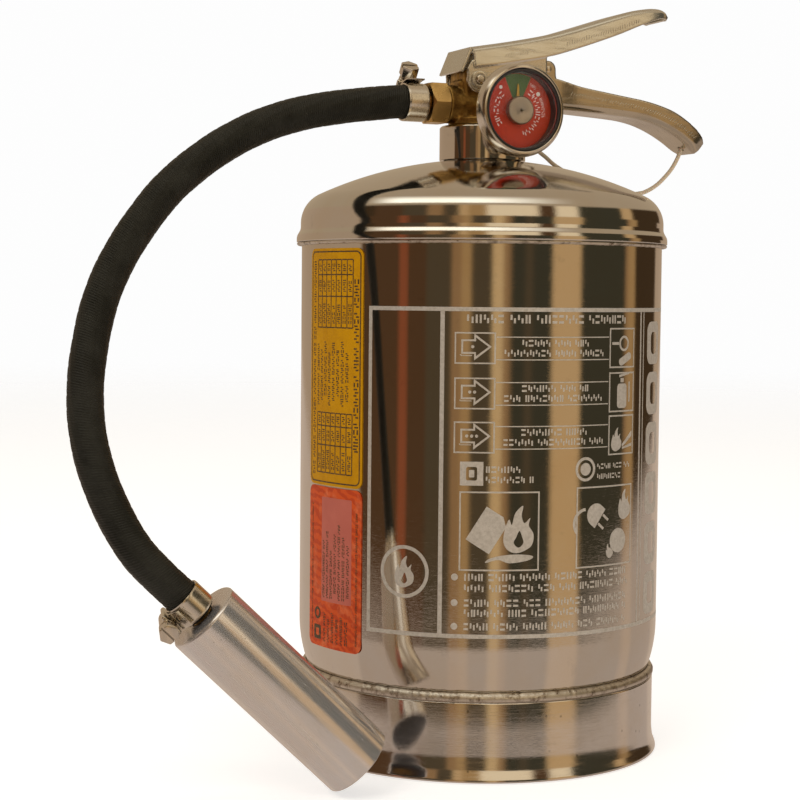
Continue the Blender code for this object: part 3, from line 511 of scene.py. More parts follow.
def lathe(name, points, look, nodes=(), matrix=None, ease=0.0, steps=4, sides=64,
          closed=True, limit=140.0, shift=None):
    """A turned piece of the extinguisher's body, from a profile in millimetres."""
    profile = [(r * MM, z * MM) for r, z in points]
    if ease:
        profile = eased(profile, ease * MM, steps, closed, limit)
    return piece(name, turned(name, profile, sides, closed, shift), look, "extinguisher",
                 nodes, matrix)


def torus(name, radius, wire, sides=96, wire_sides=16):
    return turned(name, arc(radius, 0.0, wire, 0, 360 - 360 / wire_sides, wire_sides - 1), sides)


def flat(name, outlines, low, high):
    """Closed outlines in the local XY plane, nested ones making holes, from low to high in Z."""
    data = bpy.data.curves.new(name, 'CURVE')
    data.dimensions = '2D'
    data.fill_mode = 'BOTH'
    data.extrude = (high - low) / 2
    for outline in outlines:
        spline = data.splines.new('POLY')
        spline.points.add(len(outline) - 1)
        for point, (x, y) in zip(spline.points, outline):
            point.co = (x, y, 0.0, 1.0)
        spline.use_cyclic_u = True
    mesh = evaluated(loose(name, data, Matrix.Translation((0, 0, (low + high) / 2))))
    shape = bmesh.new()
    shape.from_mesh(mesh)
    bmesh.ops.remove_doubles(shape, verts=shape.verts[:], dist=1e-7)
    return built(name, shape)


def bevelled(name, shape, bevel, segments=3):
    """A mesh of a bmesh with all its edges bevelled."""
    if bevel:
        bmesh.ops.bevel(shape, geom=shape.edges[:], offset=bevel, segments=segments, profile=0.5,
                        affect='EDGES')
    return built(name, shape)


def box(name, low, high, bevel=0.0, segments=3):
    shape = bmesh.new()
    low, high = Vector(low), Vector(high)
    size = Matrix.Diagonal((*(high - low), 1.0))
    bmesh.ops.create_cube(shape, size=1.0, matrix=Matrix.Translation((low + high) / 2) @ size)
    return bevelled(name, shape, bevel, segments)


def prism(name, radius, low, high, sides=6, turn=0.0, bevel=0.0):
    """A regular prism on the local Z axis."""
    shape = bmesh.new()
    bmesh.ops.create_cone(shape, cap_ends=True, segments=sides, radius1=radius, radius2=radius,
                          depth=high - low,
                          matrix=Matrix.Translation((0, 0, (low + high) / 2))
                          @ Matrix.Rotation(turn, 4, 'Z'))
    return bevelled(name, shape, bevel)


def merged(name, meshes):
    """Several (mesh, matrix) pairs as one mesh in the part's frame."""
    shape = bmesh.new()
    for mesh, matrix in meshes:
        if matrix is not None:
            mesh.transform(matrix)
        shape.from_mesh(mesh)
        bpy.data.meshes.remove(mesh)
    result = bpy.data.meshes.new(name)
    shape.to_mesh(result)
    shape.free()
    return result


def moulded(name, meshes, voxel, smooth=6, cutters=(), rough=0.0, rough_scale=300.0):
    """Overlapping solids melted into one skin, then smoothed, as a casting or a stamping is."""
    thing = loose(name, merged(name, meshes))
    cut_things = [loose(name + "_cut", mesh, matrix) for mesh, matrix in cutters]
    for cutter in cut_things:
        boolean(thing, 'DIFFERENCE', cutter, use_self=True)
    skin = thing.modifiers.new("skin", 'REMESH')
    skin.mode, skin.voxel_size = 'VOXEL', voxel
    ease = thing.modifiers.new("ease", 'SMOOTH')
    ease.factor, ease.iterations = 0.5, smooth
    mesh = evaluated(thing)
    for cutter in cut_things:
        bpy.data.objects.remove(cutter, do_unlink=True)
    if rough:
        moves = [v.normal * noise.fractal(v.co * rough_scale, 0.9, 2.0, 4) * rough
                 for v in mesh.vertices]
        for vertex, move in zip(mesh.vertices, moves):
            vertex.co += move
    return mesh


def smooth_run(a, b, c, d, steps):
    """Points from b towards c, c left out, on the smooth curve through all four."""
    turns = [i / steps for i in range(steps)]
    return [0.5 * (2 * b + (c - a) * t + (2 * a - 5 * b + 4 * c - d) * t * t
                   + (3 * b - a - 3 * c + d) * t ** 3) for t in turns]


def smooth_line(route, steps):
    """An open smooth curve through a route of vectors."""
    ends = [route[0] * 2 - route[1]] + list(route) + [route[-1] * 2 - route[-2]]
    runs = zip(ends, ends[1:], ends[2:], ends[3:])
    return [point for run in runs for point in smooth_run(*run, steps)] + [route[-1]]


def spline_points(route, count):
    """Points on the smooth curve through a route, spaced evenly by length."""
    fine = smooth_line(route, 24)
    run = [0.0]
    for a, b in zip(fine, fine[1:]):
        run.append(run[-1] + (b - a).length)
    points, spot = [], 0
    for i in range(count):
        goal = run[-1] * i / (count - 1)
        while spot < len(run) - 2 and run[spot + 1] < goal:
            spot += 1
        share = (goal - run[spot]) / (run[spot + 1] - run[spot])
        points.append(fine[spot].lerp(fine[spot + 1], min(share, 1.0)))
    return points


def swept(name, points, radius, sides=24, shift=None, round_ends=0.0):
    """A closed tube along points with UVs: turn round the tube, and metres along it.

    shift(angle, along) gives a change of radius.
    """
    shape = bmesh.new()
    uv = shape.loops.layers.uv.new("UVMap")
    side = (points[1] - points[0]).orthogonal().normalized()
    rows, run, total = [], 0.0, sum((b - a).length for a, b in zip(points, points[1:]))
    for i, point in enumerate(points):
        way = (points[min(i + 1, len(points) - 1)] - points[max(i - 1, 0)]).normalized()
        side = (side - way * side.dot(way)).normalized()
        other = way.cross(side)
        if i:
            run += (point - points[i - 1]).length
        end = min(run, total - run)
        taper = 1.0
        if round_ends and end < round_ends:
            taper = 1.0 - 0.45 * (1 - end / round_ends) ** 2
        row = []
        for j in range(sides):
            angle = math.tau * j / sides
            reach = radius * taper + (shift(angle, run) if shift else 0.0)
            row.append(shape.verts.new(point + (side * math.cos(angle)
                                                + other * math.sin(angle)) * reach))
        rows.append((row, run))
    for (one, low), (two, high) in zip(rows, rows[1:]):
        for j in range(sides):
            k = (j + 1) % sides
            face = shape.faces.new((one[j], one[k], two[k], two[j]))
            for loop, spot in zip(face.loops, ((j, low), (j + 1, low), (j + 1, high), (j, high))):
                loop[uv].uv = (spot[0] / sides, spot[1])
    shape.faces.new(list(reversed(rows[0][0])))
    shape.faces.new(rows[-1][0])
    return built(name, shape)


# ---------------------------------------------------------------- hose and tether

HOSE_RADIUS = 6.9 * MM
# Both routes in millimetres from the vessel's axis
HOSE_ROUTE = [Vector(p) * MM + Vector((AXIS_X, 0, 0)) for p in (
    (-27.2, 0, 271), (-38.2, 0, 271), (-48.5, -0.3, 269.9), (-66, -2, 267.4), (-84.3, -4, 263.6),
    (-102.4, -6.7, 257.5), (-119.5, -10, 248.8), (-135, -13.2, 238), (-147.8, -17, 226.3),
    (-163, -22.8, 207), (-173.3, -28.5, 188), (-179.7, -34.8, 166.5), (-182, -39.5, 150),
    (-181.6, -43.9, 135.5), (-178.6, -47.8, 121.5), (-173.2, -51.6, 107.4), (-166.6, -54.9, 95.6),
    (-158.7, -56.9, 86.7), (-150.8, -57.5, 79.05), (-142.96, -58.07, 71.45))]
TETHER_RADIUS = 0.9 * MM
TETHER_ROUTE = [Vector(p) * MM + Vector((AXIS_X, 0, 0)) for p in (
    (27.5, 19.3, 261.3), (30, 18.6, 258.6), (34, 17.2, 255.6), (38.5, 15.5, 252),
    (42.8, 13.5, 248), (52.3, 10.5, 242.4), (61.8, 7.5, 238.6), (71.2, 4.5, 236.2),
    (79.3, 2.6, 236.7), (82.8, 1.6, 238), (85.8, 0.8, 239.9), (88.6, 0, 242.4),
    (92.8, -0.8, 247.2), (96, -1, 252.4), (97.6, -1, 256.4), (99.2, -1, 259.4))]


def make_hose():
    """The hose with its wound cover: two spiral seams and a slight twist of low ribs."""
    path = spline_points(HOSE_ROUTE, 640)
    seam_pitch, seam_depth, rib_height = 5.2 * MM, 0.13 * MM, 0.06 * MM
    ribs, twist = 14, 300

    def wrap(angle, along):
        turns = along / seam_pitch + 2 * angle / math.tau
        seam = max(0.0, math.cos(math.tau * turns)) ** 6
        return rib_height * math.sin(ribs * angle + along * twist) - seam_depth * seam

    hose = piece("hose_cover", swept("hose_cover", path, HOSE_RADIUS, 72, wrap, 0.0012), "hose",
                 "extinguisher", ["hose"], sharp=50)
    return hose, path


def make_tether():
    path = spline_points(TETHER_ROUTE, 120)
    tether = piece("tether_line", swept("tether_line", path, TETHER_RADIUS, 20), "cord", None,
                   ["pin_tether"])
    return tether, path


HOSE, HOSE_PATH = make_hose()
TETHER, TETHER_PATH = make_tether()


# ---------------------------------------------------------------- vessel

VESSEL_RADIUS = 76.2 * MM
VESSEL_WALL = 1.5 * MM
SEAM_Z = 212.6 * MM
SKIRT_RADIUS = 78.4 * MM
DOME_TOP_Z = 248.2 * MM
DOME_CROWN = 163.0 * MM
DOME_KNUCKLE = 13.3 * MM
NECK_TOP_Z = 262.2 * MM
BIG_STEPS = 288


def dome_line(inset):
    """The top dome from the neck hole outwards and down to the skirt, moved inwards by inset."""
    crown = DOME_CROWN - inset
    centre_z = DOME_TOP_Z - DOME_CROWN
    knuckle = DOME_KNUCKLE - inset
    shoulder = VESSEL_RADIUS + 0.5 * MM
    lean = math.asin((shoulder - DOME_KNUCKLE) / (DOME_CROWN - DOME_KNUCKLE))
    knuckle_z = centre_z + (DOME_CROWN - DOME_KNUCKLE) * math.cos(lean)
    start = 90 - math.degrees(math.asin(16.5 * MM / crown))
    end = 90 - math.degrees(lean)
    line = arc(0.0, centre_z, crown, start, end, 28)
    line += arc(shoulder - DOME_KNUCKLE, knuckle_z, knuckle, end, 0, 18)[1:]
    step = [(shoulder - inset, SEAM_Z + 5.5 * MM), (SKIRT_RADIUS - inset, SEAM_Z + 2.6 * MM),
            (SKIRT_RADIUS - inset, SEAM_Z)]
    return line[:-1] + eased([line[-1]] + step, 1.6 * MM, 6, closed=False, limit=175.0)


def bottom_line(inset):
    """The rounded vessel bottom from the wall down and in to the axis, moved inwards."""
    first, second, crown = 58.0 * MM, 20.0 * MM, 195.0 * MM
    tangent_z, lean, turn = 54.0 * MM, 19.1, 72.0
    line = arc(VESSEL_RADIUS - first, tangent_z, first - inset, 0, -lean, 10)
    c, s = math.cos(math.radians(lean)), math.sin(math.radians(lean))
    knuckle_x = VESSEL_RADIUS - first + (first - second) * c
    knuckle_z = tangent_z - (first - second) * s
    line += arc(knuckle_x, knuckle_z, second - inset, -lean, -turn, 10)[1:]
    crown_z = knuckle_z + (crown - second) * math.sin(math.radians(turn))
    start = -90 + math.degrees(math.asin(line[-1][0] / (crown - inset)))
    line += arc(0.0, crown_z, crown - inset, start, -90, 10)[1:]
    line[-1] = (0.0, line[-1][1])
    return line


def ripple(angle, scale, seed):
    """Smooth noise round a circle, from -1 to 1."""
    return noise.noise(Vector((math.cos(angle) * scale, math.sin(angle) * scale, seed)))


def make_vessel():
    rim = SEAM_Z + 4.2 * MM
    inner = [(VESSEL_RADIUS - VESSEL_WALL, rim)] + bottom_line(VESSEL_WALL)
    outer = [(VESSEL_RADIUS, rim), (VESSEL_RADIUS, 0.16)] + bottom_line(0.0)
    profile = list(reversed(inner)) + outer
    piece("vessel_wall", turned("vessel_wall", profile, BIG_STEPS, closed=False), "polished",
          "extinguisher", ["body_shell"], at_axis())
    dome = eased(dome_line(0.0) + list(reversed(dome_line(VESSEL_WALL))), 0.35 * MM, 2, limit=120.0)
    piece("vessel_dome", turned("vessel_dome", dome, BIG_STEPS), "dome", "extinguisher",
          ["top_dome"], at_axis())

    def seam_shift(angle, radius, height):
        low = (SEAM_Z - height) / (1.6 * MM)
        lump = 0.55 * ripple(angle, 22.0, 1.0) + 0.45 * ripple(angle, 70.0, 4.0)
        return (radius - 0.25 * MM * max(0.0, lump) * low,
                height + 0.55 * MM * lump * max(0.0, low - 0.2))

    seam = [(76.6, -0.4), (77.5, -0.31), (78.25, -0.33), (78.3, -0.6), (78.15, -0.95), (77.9, -1.2),
            (77.4, -1.38), (76.9, -1.2), (76.6, -0.9)]
    lathe("seam_bead", [(r, SEAM_Z / MM + z) for r, z in seam], "weld",
          ["seam_weld"], at_axis(), sides=720, shift=seam_shift)

    def foot_shift(angle, radius, height):
        share = (radius - 73.2 * MM) / (2.4 * MM)
        lump = 0.5 * ripple(angle, 17.0, 2.0) + 0.5 * ripple(angle, 58.0, 7.0)
        scale = 0.5 + 0.5 * math.sin(angle * 96 + 9.0 * ripple(angle, 7.0, 3.0))
        push = share * (0.55 * MM * min(0.0, lump) - 0.14 * MM * scale)
        return radius + push, height + 0.35 * MM * lump * (1 if height > 33 * MM else 0.3)

    foot = eased([(73.2, 35.5), (74.7, 34.75), (75.55, 33.4), (75.3, 31.85), (73.2, 31.85)], 0.7, 4)
    lathe("foot_bead", foot, "weld", ["foot_weld"], at_axis(), sides=960,
          shift=foot_shift)

    radius, ring_wall = 75.0, 1.6
    inside = radius - ring_wall
    ring = [(radius, 31.5), (radius, 20), (radius, 9), (radius + 0.5, 4.5), (radius + 1.8, 1.2),
            (radius + 1.8, 0.0), (radius - 1.2, 0.0), (inside, 4.5), (inside, 31.5)]

    def ring_shift(angle, r, z):
        dent = 0.12 * MM * ripple(angle, 3.0, 5.0) * math.sin(math.pi * min(1.0, z / (31.5 * MM)))
        return r + min(0.0, dent), z

    lathe("foot_band", ring, "ring", ["foot_ring"], at_axis(), 1.5, 6, BIG_STEPS,
          limit=178.5, shift=ring_shift)

    top, outer, spigot, bore = NECK_TOP_Z / MM, 18.2, 16.2, 12.1
    shoulder_z, groove_z, spigot_z = 247.75, top - 1.7, 239.5
    neck = [(14.3, groove_z), (14.3, top), (outer - 0.8, top), (outer, top - 0.8),
            (outer, shoulder_z), (spigot, shoulder_z), (spigot, spigot_z), (bore, spigot_z),
            (bore, top), (12.5, top), (12.5, groove_z)]
    lathe("neck_collar", neck, "polished", ["neck_sleeve"], at_axis(), 0.3, 3,
          160)
    piece("neck_seal", torus("neck_seal", 13.4 * MM, 0.75 * MM), "seal", "extinguisher",
          ["neck_oring"], at_axis(z=NECK_TOP_Z - 0.85 * MM))


make_vessel()


# ---------------------------------------------------------------- marks on the vessel

# Angles round the vessel; widths and places on the sheets are in millimetres from their start
LABEL_START = math.radians(179.0)
LABEL_END = math.radians(206.5)
LABEL_RADIUS = 76.33 * MM
PANEL_START = math.radians(205.8)
PANEL_WIDTH = 172.0
SHEET_PITCH = 1.6 * MM


def bent(name, outlines, start, radius, low, high):
    """Outlines in millimetres round and up the vessel, wrapped on it as a thin sheet."""
    flat_mesh = flat(name, [[(x * MM, y * MM) for x, y in line] for line in outlines], low, high)
    shape = bmesh.new()
    shape.from_mesh(flat_mesh)
    bpy.data.meshes.remove(flat_mesh)
    left = min(v.co.x for v in shape.verts)
    right = max(v.co.x for v in shape.verts)
    for i in range(1, int((right - left) / SHEET_PITCH) + 1):
        everything = shape.verts[:] + shape.edges[:] + shape.faces[:]
        bmesh.ops.bisect_plane(shape, geom=everything, plane_co=(left + i * SHEET_PITCH, 0, 0),
                               plane_no=(1, 0, 0), dist=1e-8)
    for vertex in shape.verts:
        angle = start + vertex.co.x / radius
        reach = radius + vertex.co.z
        vertex.co = (reach * math.cos(angle), reach * math.sin(angle), vertex.co.y)
    mesh = built(name, shape)
    mesh.transform(at_axis())
    return mesh


def covers(outline, place):
    """Whether a place is inside an outline."""
    x, y = place
    inside = False
    for (ax, ay), (bx, by) in zip(outline, outline[1:] + outline[:1]):
        if (ay > y) != (by > y) and x < ax + (bx - ax) * (y - ay) / (by - ay):
            inside = not inside
    return inside


def nested(outlines):
    """Outlines as groups of one filled shape and the holes straight inside it."""
    around = [[k for k, other in enumerate(outlines) if k != i and covers(other, line[0])]
              for i, line in enumerate(outlines)]
    groups = {i: [line] for i, line in enumerate(outlines) if len(around[i]) % 2 == 0}
    for i, line in enumerate(outlines):
        if i not in groups:
            owner = max((k for k in around[i] if k in groups), key=lambda k: len(around[k]))
            groups[owner].append(line)
    return list(groups.values())


def bar(x0, y0, x1, y1):
    return [(x0, y0), (x1, y0), (x1, y1), (x0, y1)]


def border(x0, y0, x1, y1, width):
    return [bar(x0, y0, x1, y1), bar(x0 + width, y0 + width, x1 - width, y1 - width)]


def rounded_bar(x0, y0, x1, y1, radius, steps=6):
    corners = ((x1 - radius, y0 + radius, -90), (x1 - radius, y1 - radius, 0),
               (x0 + radius, y1 - radius, 90), (x0 + radius, y0 + radius, 180))
    return [p for x, y, a in corners for p in arc(x, y, radius, a, a + 90, steps)]


def disc(x, y, radius, steps=28):
    return arc(x, y, radius, 0, 360 - 360 / steps, steps - 1)


def moved(points, x, y, scale=1.0, turn=0.0):
    c, s = math.cos(math.radians(turn)) * scale, math.sin(math.radians(turn)) * scale
    return [(x + px * c - py * s, y + px * s + py * c) for px, py in points]


def curvy(points):
    """A closed outline through points as a smooth curve."""
    result = []
    for i in range(len(points)):
        near = (Vector(points[(i + k) % len(points)]) for k in (-1, 0, 1, 2))
        result += [tuple(point) for point in smooth_run(*near, 6)]
    return result


def dashes(chance, x0, x1, y, height, upright=False):
    """A row of short strokes in groups, standing for a line of print without being one."""
    marks, x, pen = [], x0, height * 0.24
    while x < x1 - height * 0.6:
        for _ in range(chance.randint(3, 9)):
            width = height * chance.uniform(0.6, 0.78)
            if x + width > x1:
                break
            low, high = y - height / 2, y + height / 2
            shift = height * chance.choice((0.0, 0.25, 0.4))
            strokes = [bar(x, low + shift, x + pen, high),
                       bar(x + width - pen, low, x + width, high - shift)]
            if not shift and chance.random() < 0.6:
                strokes = [bar(x, low, x + width, low + pen * 1.2),
                           bar(x, high - pen * 1.2, x + width, high)]
            marks += [[(b, a) for a, b in mark] for mark in strokes] if upright else strokes
            x += width + height * 0.24
        x += height * 0.55
    return marks


FLAME = [(0, -5), (3.2, -3.4), (3.8, -0.6), (2.6, 1.6), (2.9, 3.4), (1.5, 2.2), (0.8, 4.0),
         (1.1, 6.4), (-0.8, 4.6), (-1.6, 1.8), (-2.3, 3.1), (-3.3, 0.6), (-3.6, -2.4), (-2.4, -4.4)]
FLAME_EYE = [(0.1, -3.6), (1.4, -2.4), (1.0, -0.7), (0.3, 0.8), (-0.5, -0.8), (-1.2, -2.4)]


def make_panel():
    chance = random.Random(7)
    lines = border(3.7, 57.2, PANEL_WIDTH, 186.5, 1.6)
    lines += [bar(34.9, 58.85, 36.6, 184.85), bar(127.6, 58.85, 128.6, 184.85),
              bar(130.4, 58.85, 131.0, 184.85)]
    text = dashes(chance, 45.3, 116.7, 182.0, 3.3)
    shapes = []
    for row, middle in enumerate((170.7, 153.1, 136.0)):
        shapes += border(40.6, middle - 6.2, 56.6, middle + 6.1, 0.55)
        arrow = [(43.2, -2.6), (48.2, -2.6), (48.2, -5.1), (55.0, 0.2), (48.2, 5.3), (48.2, 3.0),
                 (43.2, 3.0)]
        inner = [(43.9, -1.9), (48.9, -1.9), (48.9, -3.5), (53.8, 0.2), (48.9, 3.8), (48.9, 2.3),
                 (43.9, 2.3)]
        shapes += [[(x, y + middle + 0.3) for x, y in arrow],
                   [(x, y + middle + 0.3) for x, y in inner]]
        shapes.append([(42.6, middle - 2.6), (43.0, middle - 3.1), (47.4, middle - 3.1),
                       (47.4, middle - 2.8), (43.2, middle - 2.8), (43.2, middle - 2.5)])
        for dot in range(row + 1):
            shapes.append(disc(47.6 + 1.9 * (dot - row / 2), middle + 0.5, 0.62, 16))
        shapes += [bar(56.9, middle + 4.1, 106.3, middle + 4.5),
                   bar(56.9, middle - 4.7, 106.3, middle - 4.3)]
        text += dashes(chance, 67.0, 96.5, middle + 2.0, 2.6)
        text += dashes(chance, 60.0, 104.0, middle - 1.9, 2.6)
        shapes += border(106.8, middle - 8.0, 122.7, middle + 7.9, 0.6)
    # first picture: a ring pulled from a pin
    pull = moved(disc(0, 0, 3.1), 115.6, 172.4)
    shapes += [pull, moved(disc(0, 0, 2.2), 115.6, 172.4), bar(108.3, 171.9, 112.3, 173.0),
               moved(rounded_bar(-4.2, -1.5, 4.2, 1.5, 1.4), 116.4, 166.2, 1.0, 24)]
    # second picture: the upright vessel
    shapes += [rounded_bar(111.6, 146.6, 117.6, 156.4, 1.5), bar(113.6, 156.9, 115.6, 158.6),
               [(112.8, 158.9), (119.4, 160.2), (119.2, 161.0), (112.8, 159.9)],
               bar(119.0, 149.0, 119.8, 157.0)]
    # third picture: a flame and a jet at its foot
    shapes += [moved(curvy(FLAME), 111.5, 133.6, 0.82), [(115.2, 131.0), (121.6, 135.2),
                                                         (121.6, 137.4), (115.0, 132.0)],
               [(115.2, 130.2), (121.6, 131.2), (121.6, 132.4), (115.2, 130.9)]]
    # fire class marks: a square and a round one
    shapes += [bar(43.2, 117.2, 52.3, 126.5), rounded_bar(45.6, 119.2, 49.9, 124.5, 0.8),
               rounded_bar(46.7, 120.4, 48.8, 123.3, 0.4),
               disc(95.1, 123.0, 4.8), disc(95.1, 123.0, 3.7), disc(95.1, 123.0, 2.5)]
    text += dashes(chance, 53.3, 68.0, 123.5, 2.5) + dashes(chance, 53.3, 74.0, 119.5, 2.5)
    text += dashes(chance, 101.0, 121.2, 123.9, 2.1) + dashes(chance, 101.0, 116.4, 119.9, 2.1)
    # large pictures: a spilling can with a fire, and a plug with a fire
    shapes += border(43.1, 83.8, 74.8, 114.9, 0.6) + border(91.0, 83.8, 122.2, 116.0, 0.6)
    can = [(-5.4, -7.4), (5.4, -7.4), (5.4, 5.0), (2.4, 7.8), (-5.4, 7.8)]
    shapes += [moved(can, 54.2, 99.6, 1.0, -32),
               moved(curvy(FLAME), 66.3, 99.0, 1.62), moved(curvy(FLAME_EYE), 66.3, 98.4, 1.5),
               curvy([(53.5, 87.0), (58.5, 88.2), (63.0, 86.9), (70.5, 88.0), (72.2, 89.6),
                      (66.5, 90.3), (60.0, 89.9), (55.0, 88.6)])]
    plug = arc(0, 0, 4.6, 0, 180, 14) + [(-4.6, -2.6), (4.6, -2.6)]
    tail = arc(-5.0, 0.0, 6.2, 200, 75, 14) + arc(-5.0, 0.0, 5.0, 75, 200, 14)
    shapes += [moved(plug, 100.8, 104.6, 1.0, 52), moved(tail, 100.4, 103.0, 1.0, 18),
               moved(bar(-2.6, -6.6, -1.6, -3.0), 100.8, 104.6, 1.0, 52),
               moved(bar(1.6, -6.6, 2.6, -3.0), 100.8, 104.6, 1.0, 52),
               disc(113.4, 93.6, 4.9), moved(curvy(FLAME), 117.2, 107.2, 1.05, 4),
               moved(curvy(FLAME), 108.2, 89.4, 0.5, 24)]
    # bulleted lines
    for middle, rows in ((81.3, (0, -4.3)), (71.2, (0, -4.0)), (61.9, (0,))):
        shapes.append(disc(41.5, middle, 1.35))
        for drop in rows:
            text += dashes(chance, 45.3, 120.8 - 2.0 * chance.random(), middle + drop, 2.8)
    # a plain round mark in the left column and tall blocks past the right border
    shapes += [disc(20.8, 82.4, 10.4, 48), disc(20.8, 82.4, 9.0, 48),
               moved(curvy(FLAME), 20.8, 81.6, 1.1), moved(curvy(FLAME_EYE), 20.8, 81.2, 1.0)]
    block_pitch = 20.6
    for i in range(6):
        low = 60.5 + block_pitch * i
        shapes += [rounded_bar(134.5, low, 150.5, low + 17.4, 4.2),
                   rounded_bar(138.6, low + 4.2, 146.4, low + 13.2, 2.4)]
    sunk, raised = -0.02 * MM, 0.04 * MM
    for name, groups in (("panel_lines", nested(lines)), ("panel_print", [text]),
                         ("panel_pictures", nested(shapes))):
        sheets = [(bent(name, group, PANEL_START, VESSEL_RADIUS, sunk, raised), None)
                  for group in groups]
        piece(name, merged(name, sheets), "etched", "extinguisher", sharp=30)


def label_print(name, outlines, look, low=0.2, high=0.3):
    piece(name, bent(name, outlines, LABEL_START, LABEL_RADIUS, low * MM, high * MM), look,
          "extinguisher", sharp=30)


def make_labels():
    chance = random.Random(19)
    width = (LABEL_END - LABEL_START) * LABEL_RADIUS / MM
    for name, node, low, high, look in (
            ("yellow_sticker", "warranty_label", 113.4, 209.4, "yellow"),
            ("orange_sticker", "service_label", 47.0, 112.8, "orange")):
        sheet = [rounded_bar(0.0, low, width, high, 3.4, 10)]
        mesh = bent(name, sheet, LABEL_START, LABEL_RADIUS, 0.0, 0.25 * MM)
        piece(name, mesh, look, "extinguisher", [node], sharp=30)
    ink = [rounded_bar(1.1, 114.5, width - 1.1, 208.3, 2.6, 8),
           rounded_bar(1.65, 115.05, width - 1.65, 207.75, 2.1, 8)]
    # two tables of columns side by side, each column in three rows
    column = 3.44
    for low, high in ((177.5, 204.8), (118.6, 143.0)):
        for i in range(8):
            x = 6.9 + column * i
            ink.append(bar(x - 0.12, low, x + 0.36, high))
        for share in (0.0, 0.46, 0.78, 1.0):
            y = low + (high - low) * share
            for i in range(7):
                ink.append(bar(7.28 + column * i, y - 0.24, 10.2 + column * i, y + 0.24))
        for i in range(7):
            middle = 8.75 + column * i
            for part in ((0.06, 0.38), (0.53, 0.72), (0.83, 0.97)):
                ink += dashes(chance, low + (high - low) * part[0], low + (high - low) * part[1],
                              middle, 1.75, upright=True)
    for i in range(8):
        ink += dashes(chance, 146.0 + 2 * (i % 3), 172.0 - 3.0 * (i % 2), 7.6 + 2.9 * i, 1.75,
                      upright=True)
    ink += dashes(chance, 117.5, 205.0, 4.1, 2.0, upright=True)
    ink += dashes(chance, 128.0, 198.0, 33.1, 2.6, upright=True)
    label_print("yellow_print", ink, "ink")
    window = [rounded_bar(11.4, 66.0, 31.3, 108.6, 0.6)]
    label_print("orange_window", window, "pink", 0.2, 0.28)
    ink = []
    for i, (low, high) in enumerate(((67.5, 92.0), (67.5, 96.0), (67.5, 88.0), (70.0, 95.0),
                                     (67.5, 98.0), (67.5, 94.0), (69.0, 91.0))):
        ink += dashes(chance, low, high, 13.1 + 2.67 * i, 1.5, upright=True)
    for i in range(6):
        ink += dashes(chance, 49.5, 62.0 - 2.0 * (i % 2), 13.8 + 2.9 * i, 1.5, upright=True)
    ink += dashes(chance, 50.0, 106.0, 3.3, 1.0, upright=True)
    ink += dashes(chance, 50.0, 104.0, 34.1, 1.0, upright=True)
    ink += [disc(8.3, 60.5, 2.5), disc(8.3, 60.5, 1.4), rounded_bar(5.4, 49.8, 11.2, 55.6, 0.8),
            rounded_bar(6.9, 51.2, 9.7, 54.2, 0.4)]
    label_print("orange_print", ink, "ink", 0.2, 0.33)


make_panel()
make_labels()


# ---------------------------------------------------------------- valve

FLANGE_Z = NECK_TOP_Z + 0.3 * MM
PORT_Z = 271.0 * MM
GAUGE_Z = 266.4 * MM
PIVOT_X, PIVOT_Z = -7.1 * MM, 280.7 * MM


def rod(name, radius, low, high, sides=64, edge=0.0):
    """A cylinder on the local Z axis, with rounded rims."""
    profile = [(0.0, high), (radius, high), (radius, low), (0.0, low)]
    if edge:
        profile = eased(profile, edge, 4, closed=False)
    return turned(name, profile, sides, closed=False)


def make_valve():
    front, left = at_axis(z=GAUGE_Z) @ FRONT, at_axis(z=PORT_Z) @ LEFT
    boss = rod("boss", 6.2 * MM, 0.0, 12.8 * MM, edge=0.5 * MM)
    boss.transform(front)
    for vertex in boss.vertices:
        vertex.co.z = max(vertex.co.z, FLANGE_Z + 0.15 * MM)
    port = rod("port", 8.0 * MM, 0.0, 18.1 * MM, edge=0.6 * MM)
    ridge = box("ridge", mm(-12.3, -0.5, 264.0), mm(12.2, 0.5, 285.2), 0.3 * MM, 2)
    pad = box("pad", mm(-13.4, -5.4, 262.8), mm(-9.8, 5.4, 281.0), 1.2 * MM, 3)
    body = moulded("valve_casting", [
        (rod("flange", 14.6 * MM, FLANGE_Z, 265.4 * MM, 96, 0.5 * MM), at_axis()),
        (box("block", mm(-12.0, -7.4, 264), mm(12, 7.4, 285.2), 1.1 * MM, 3), at_axis()),
        (ridge, at_axis()), (pad, at_axis()),
        (port, left), (boss, None),
        (rod("spigot", 11.8 * MM, 238 * MM, 264.6 * MM, 64), at_axis())],
        0.3 * MM, 5, rough=0.06 * MM, rough_scale=520.0)
    piece("valve_casting", body, "cast_brass", "extinguisher", ["valve_body"],
          sharp=60)
    nut_radius = 16.5 * MM / math.sqrt(3)
    nut = loose("fitting_nut", prism("fitting_nut", nut_radius, 18.5 * MM, 26.7 * MM, 6, 0.0,
                                     0.18 * MM), left)
    cone = [(0.0, 18.5), (8.35, 18.5), (9.6, 19.4), (9.6, 25.6), (8.2, 26.7), (0.0, 26.7)]
    limit = loose("fitting_limit", turned("fitting_limit", [(r * MM, z * MM) for r, z in cone], 96,
                                          closed=False), left)
    boolean(nut, 'INTERSECT', limit)
    nut_mesh = evaluated(nut)
    bpy.data.objects.remove(limit, do_unlink=True)
    barb = []
    for i in range(3):
        base = 26.7 + 20.5 * i / 3
        barb += [(4.2, base), (4.6, base + 0.8)]
    profile = [(2.6, 5.3), (5.5, 5.3), (5.5, 25.7)] + barb + [(3.9, 47.2), (2.6, 47.2)]
    tail = turned("fitting_tail", eased([(r * MM, z * MM) for r, z in profile], 0.3 * MM, 2), 64)
    piece("fitting_body", merged("fitting_body", [(nut_mesh, None), (tail, left)]), "turned_brass",
          "extinguisher", ["hose_fitting"], sharp=28)


# ---------------------------------------------------------------- handle and lever

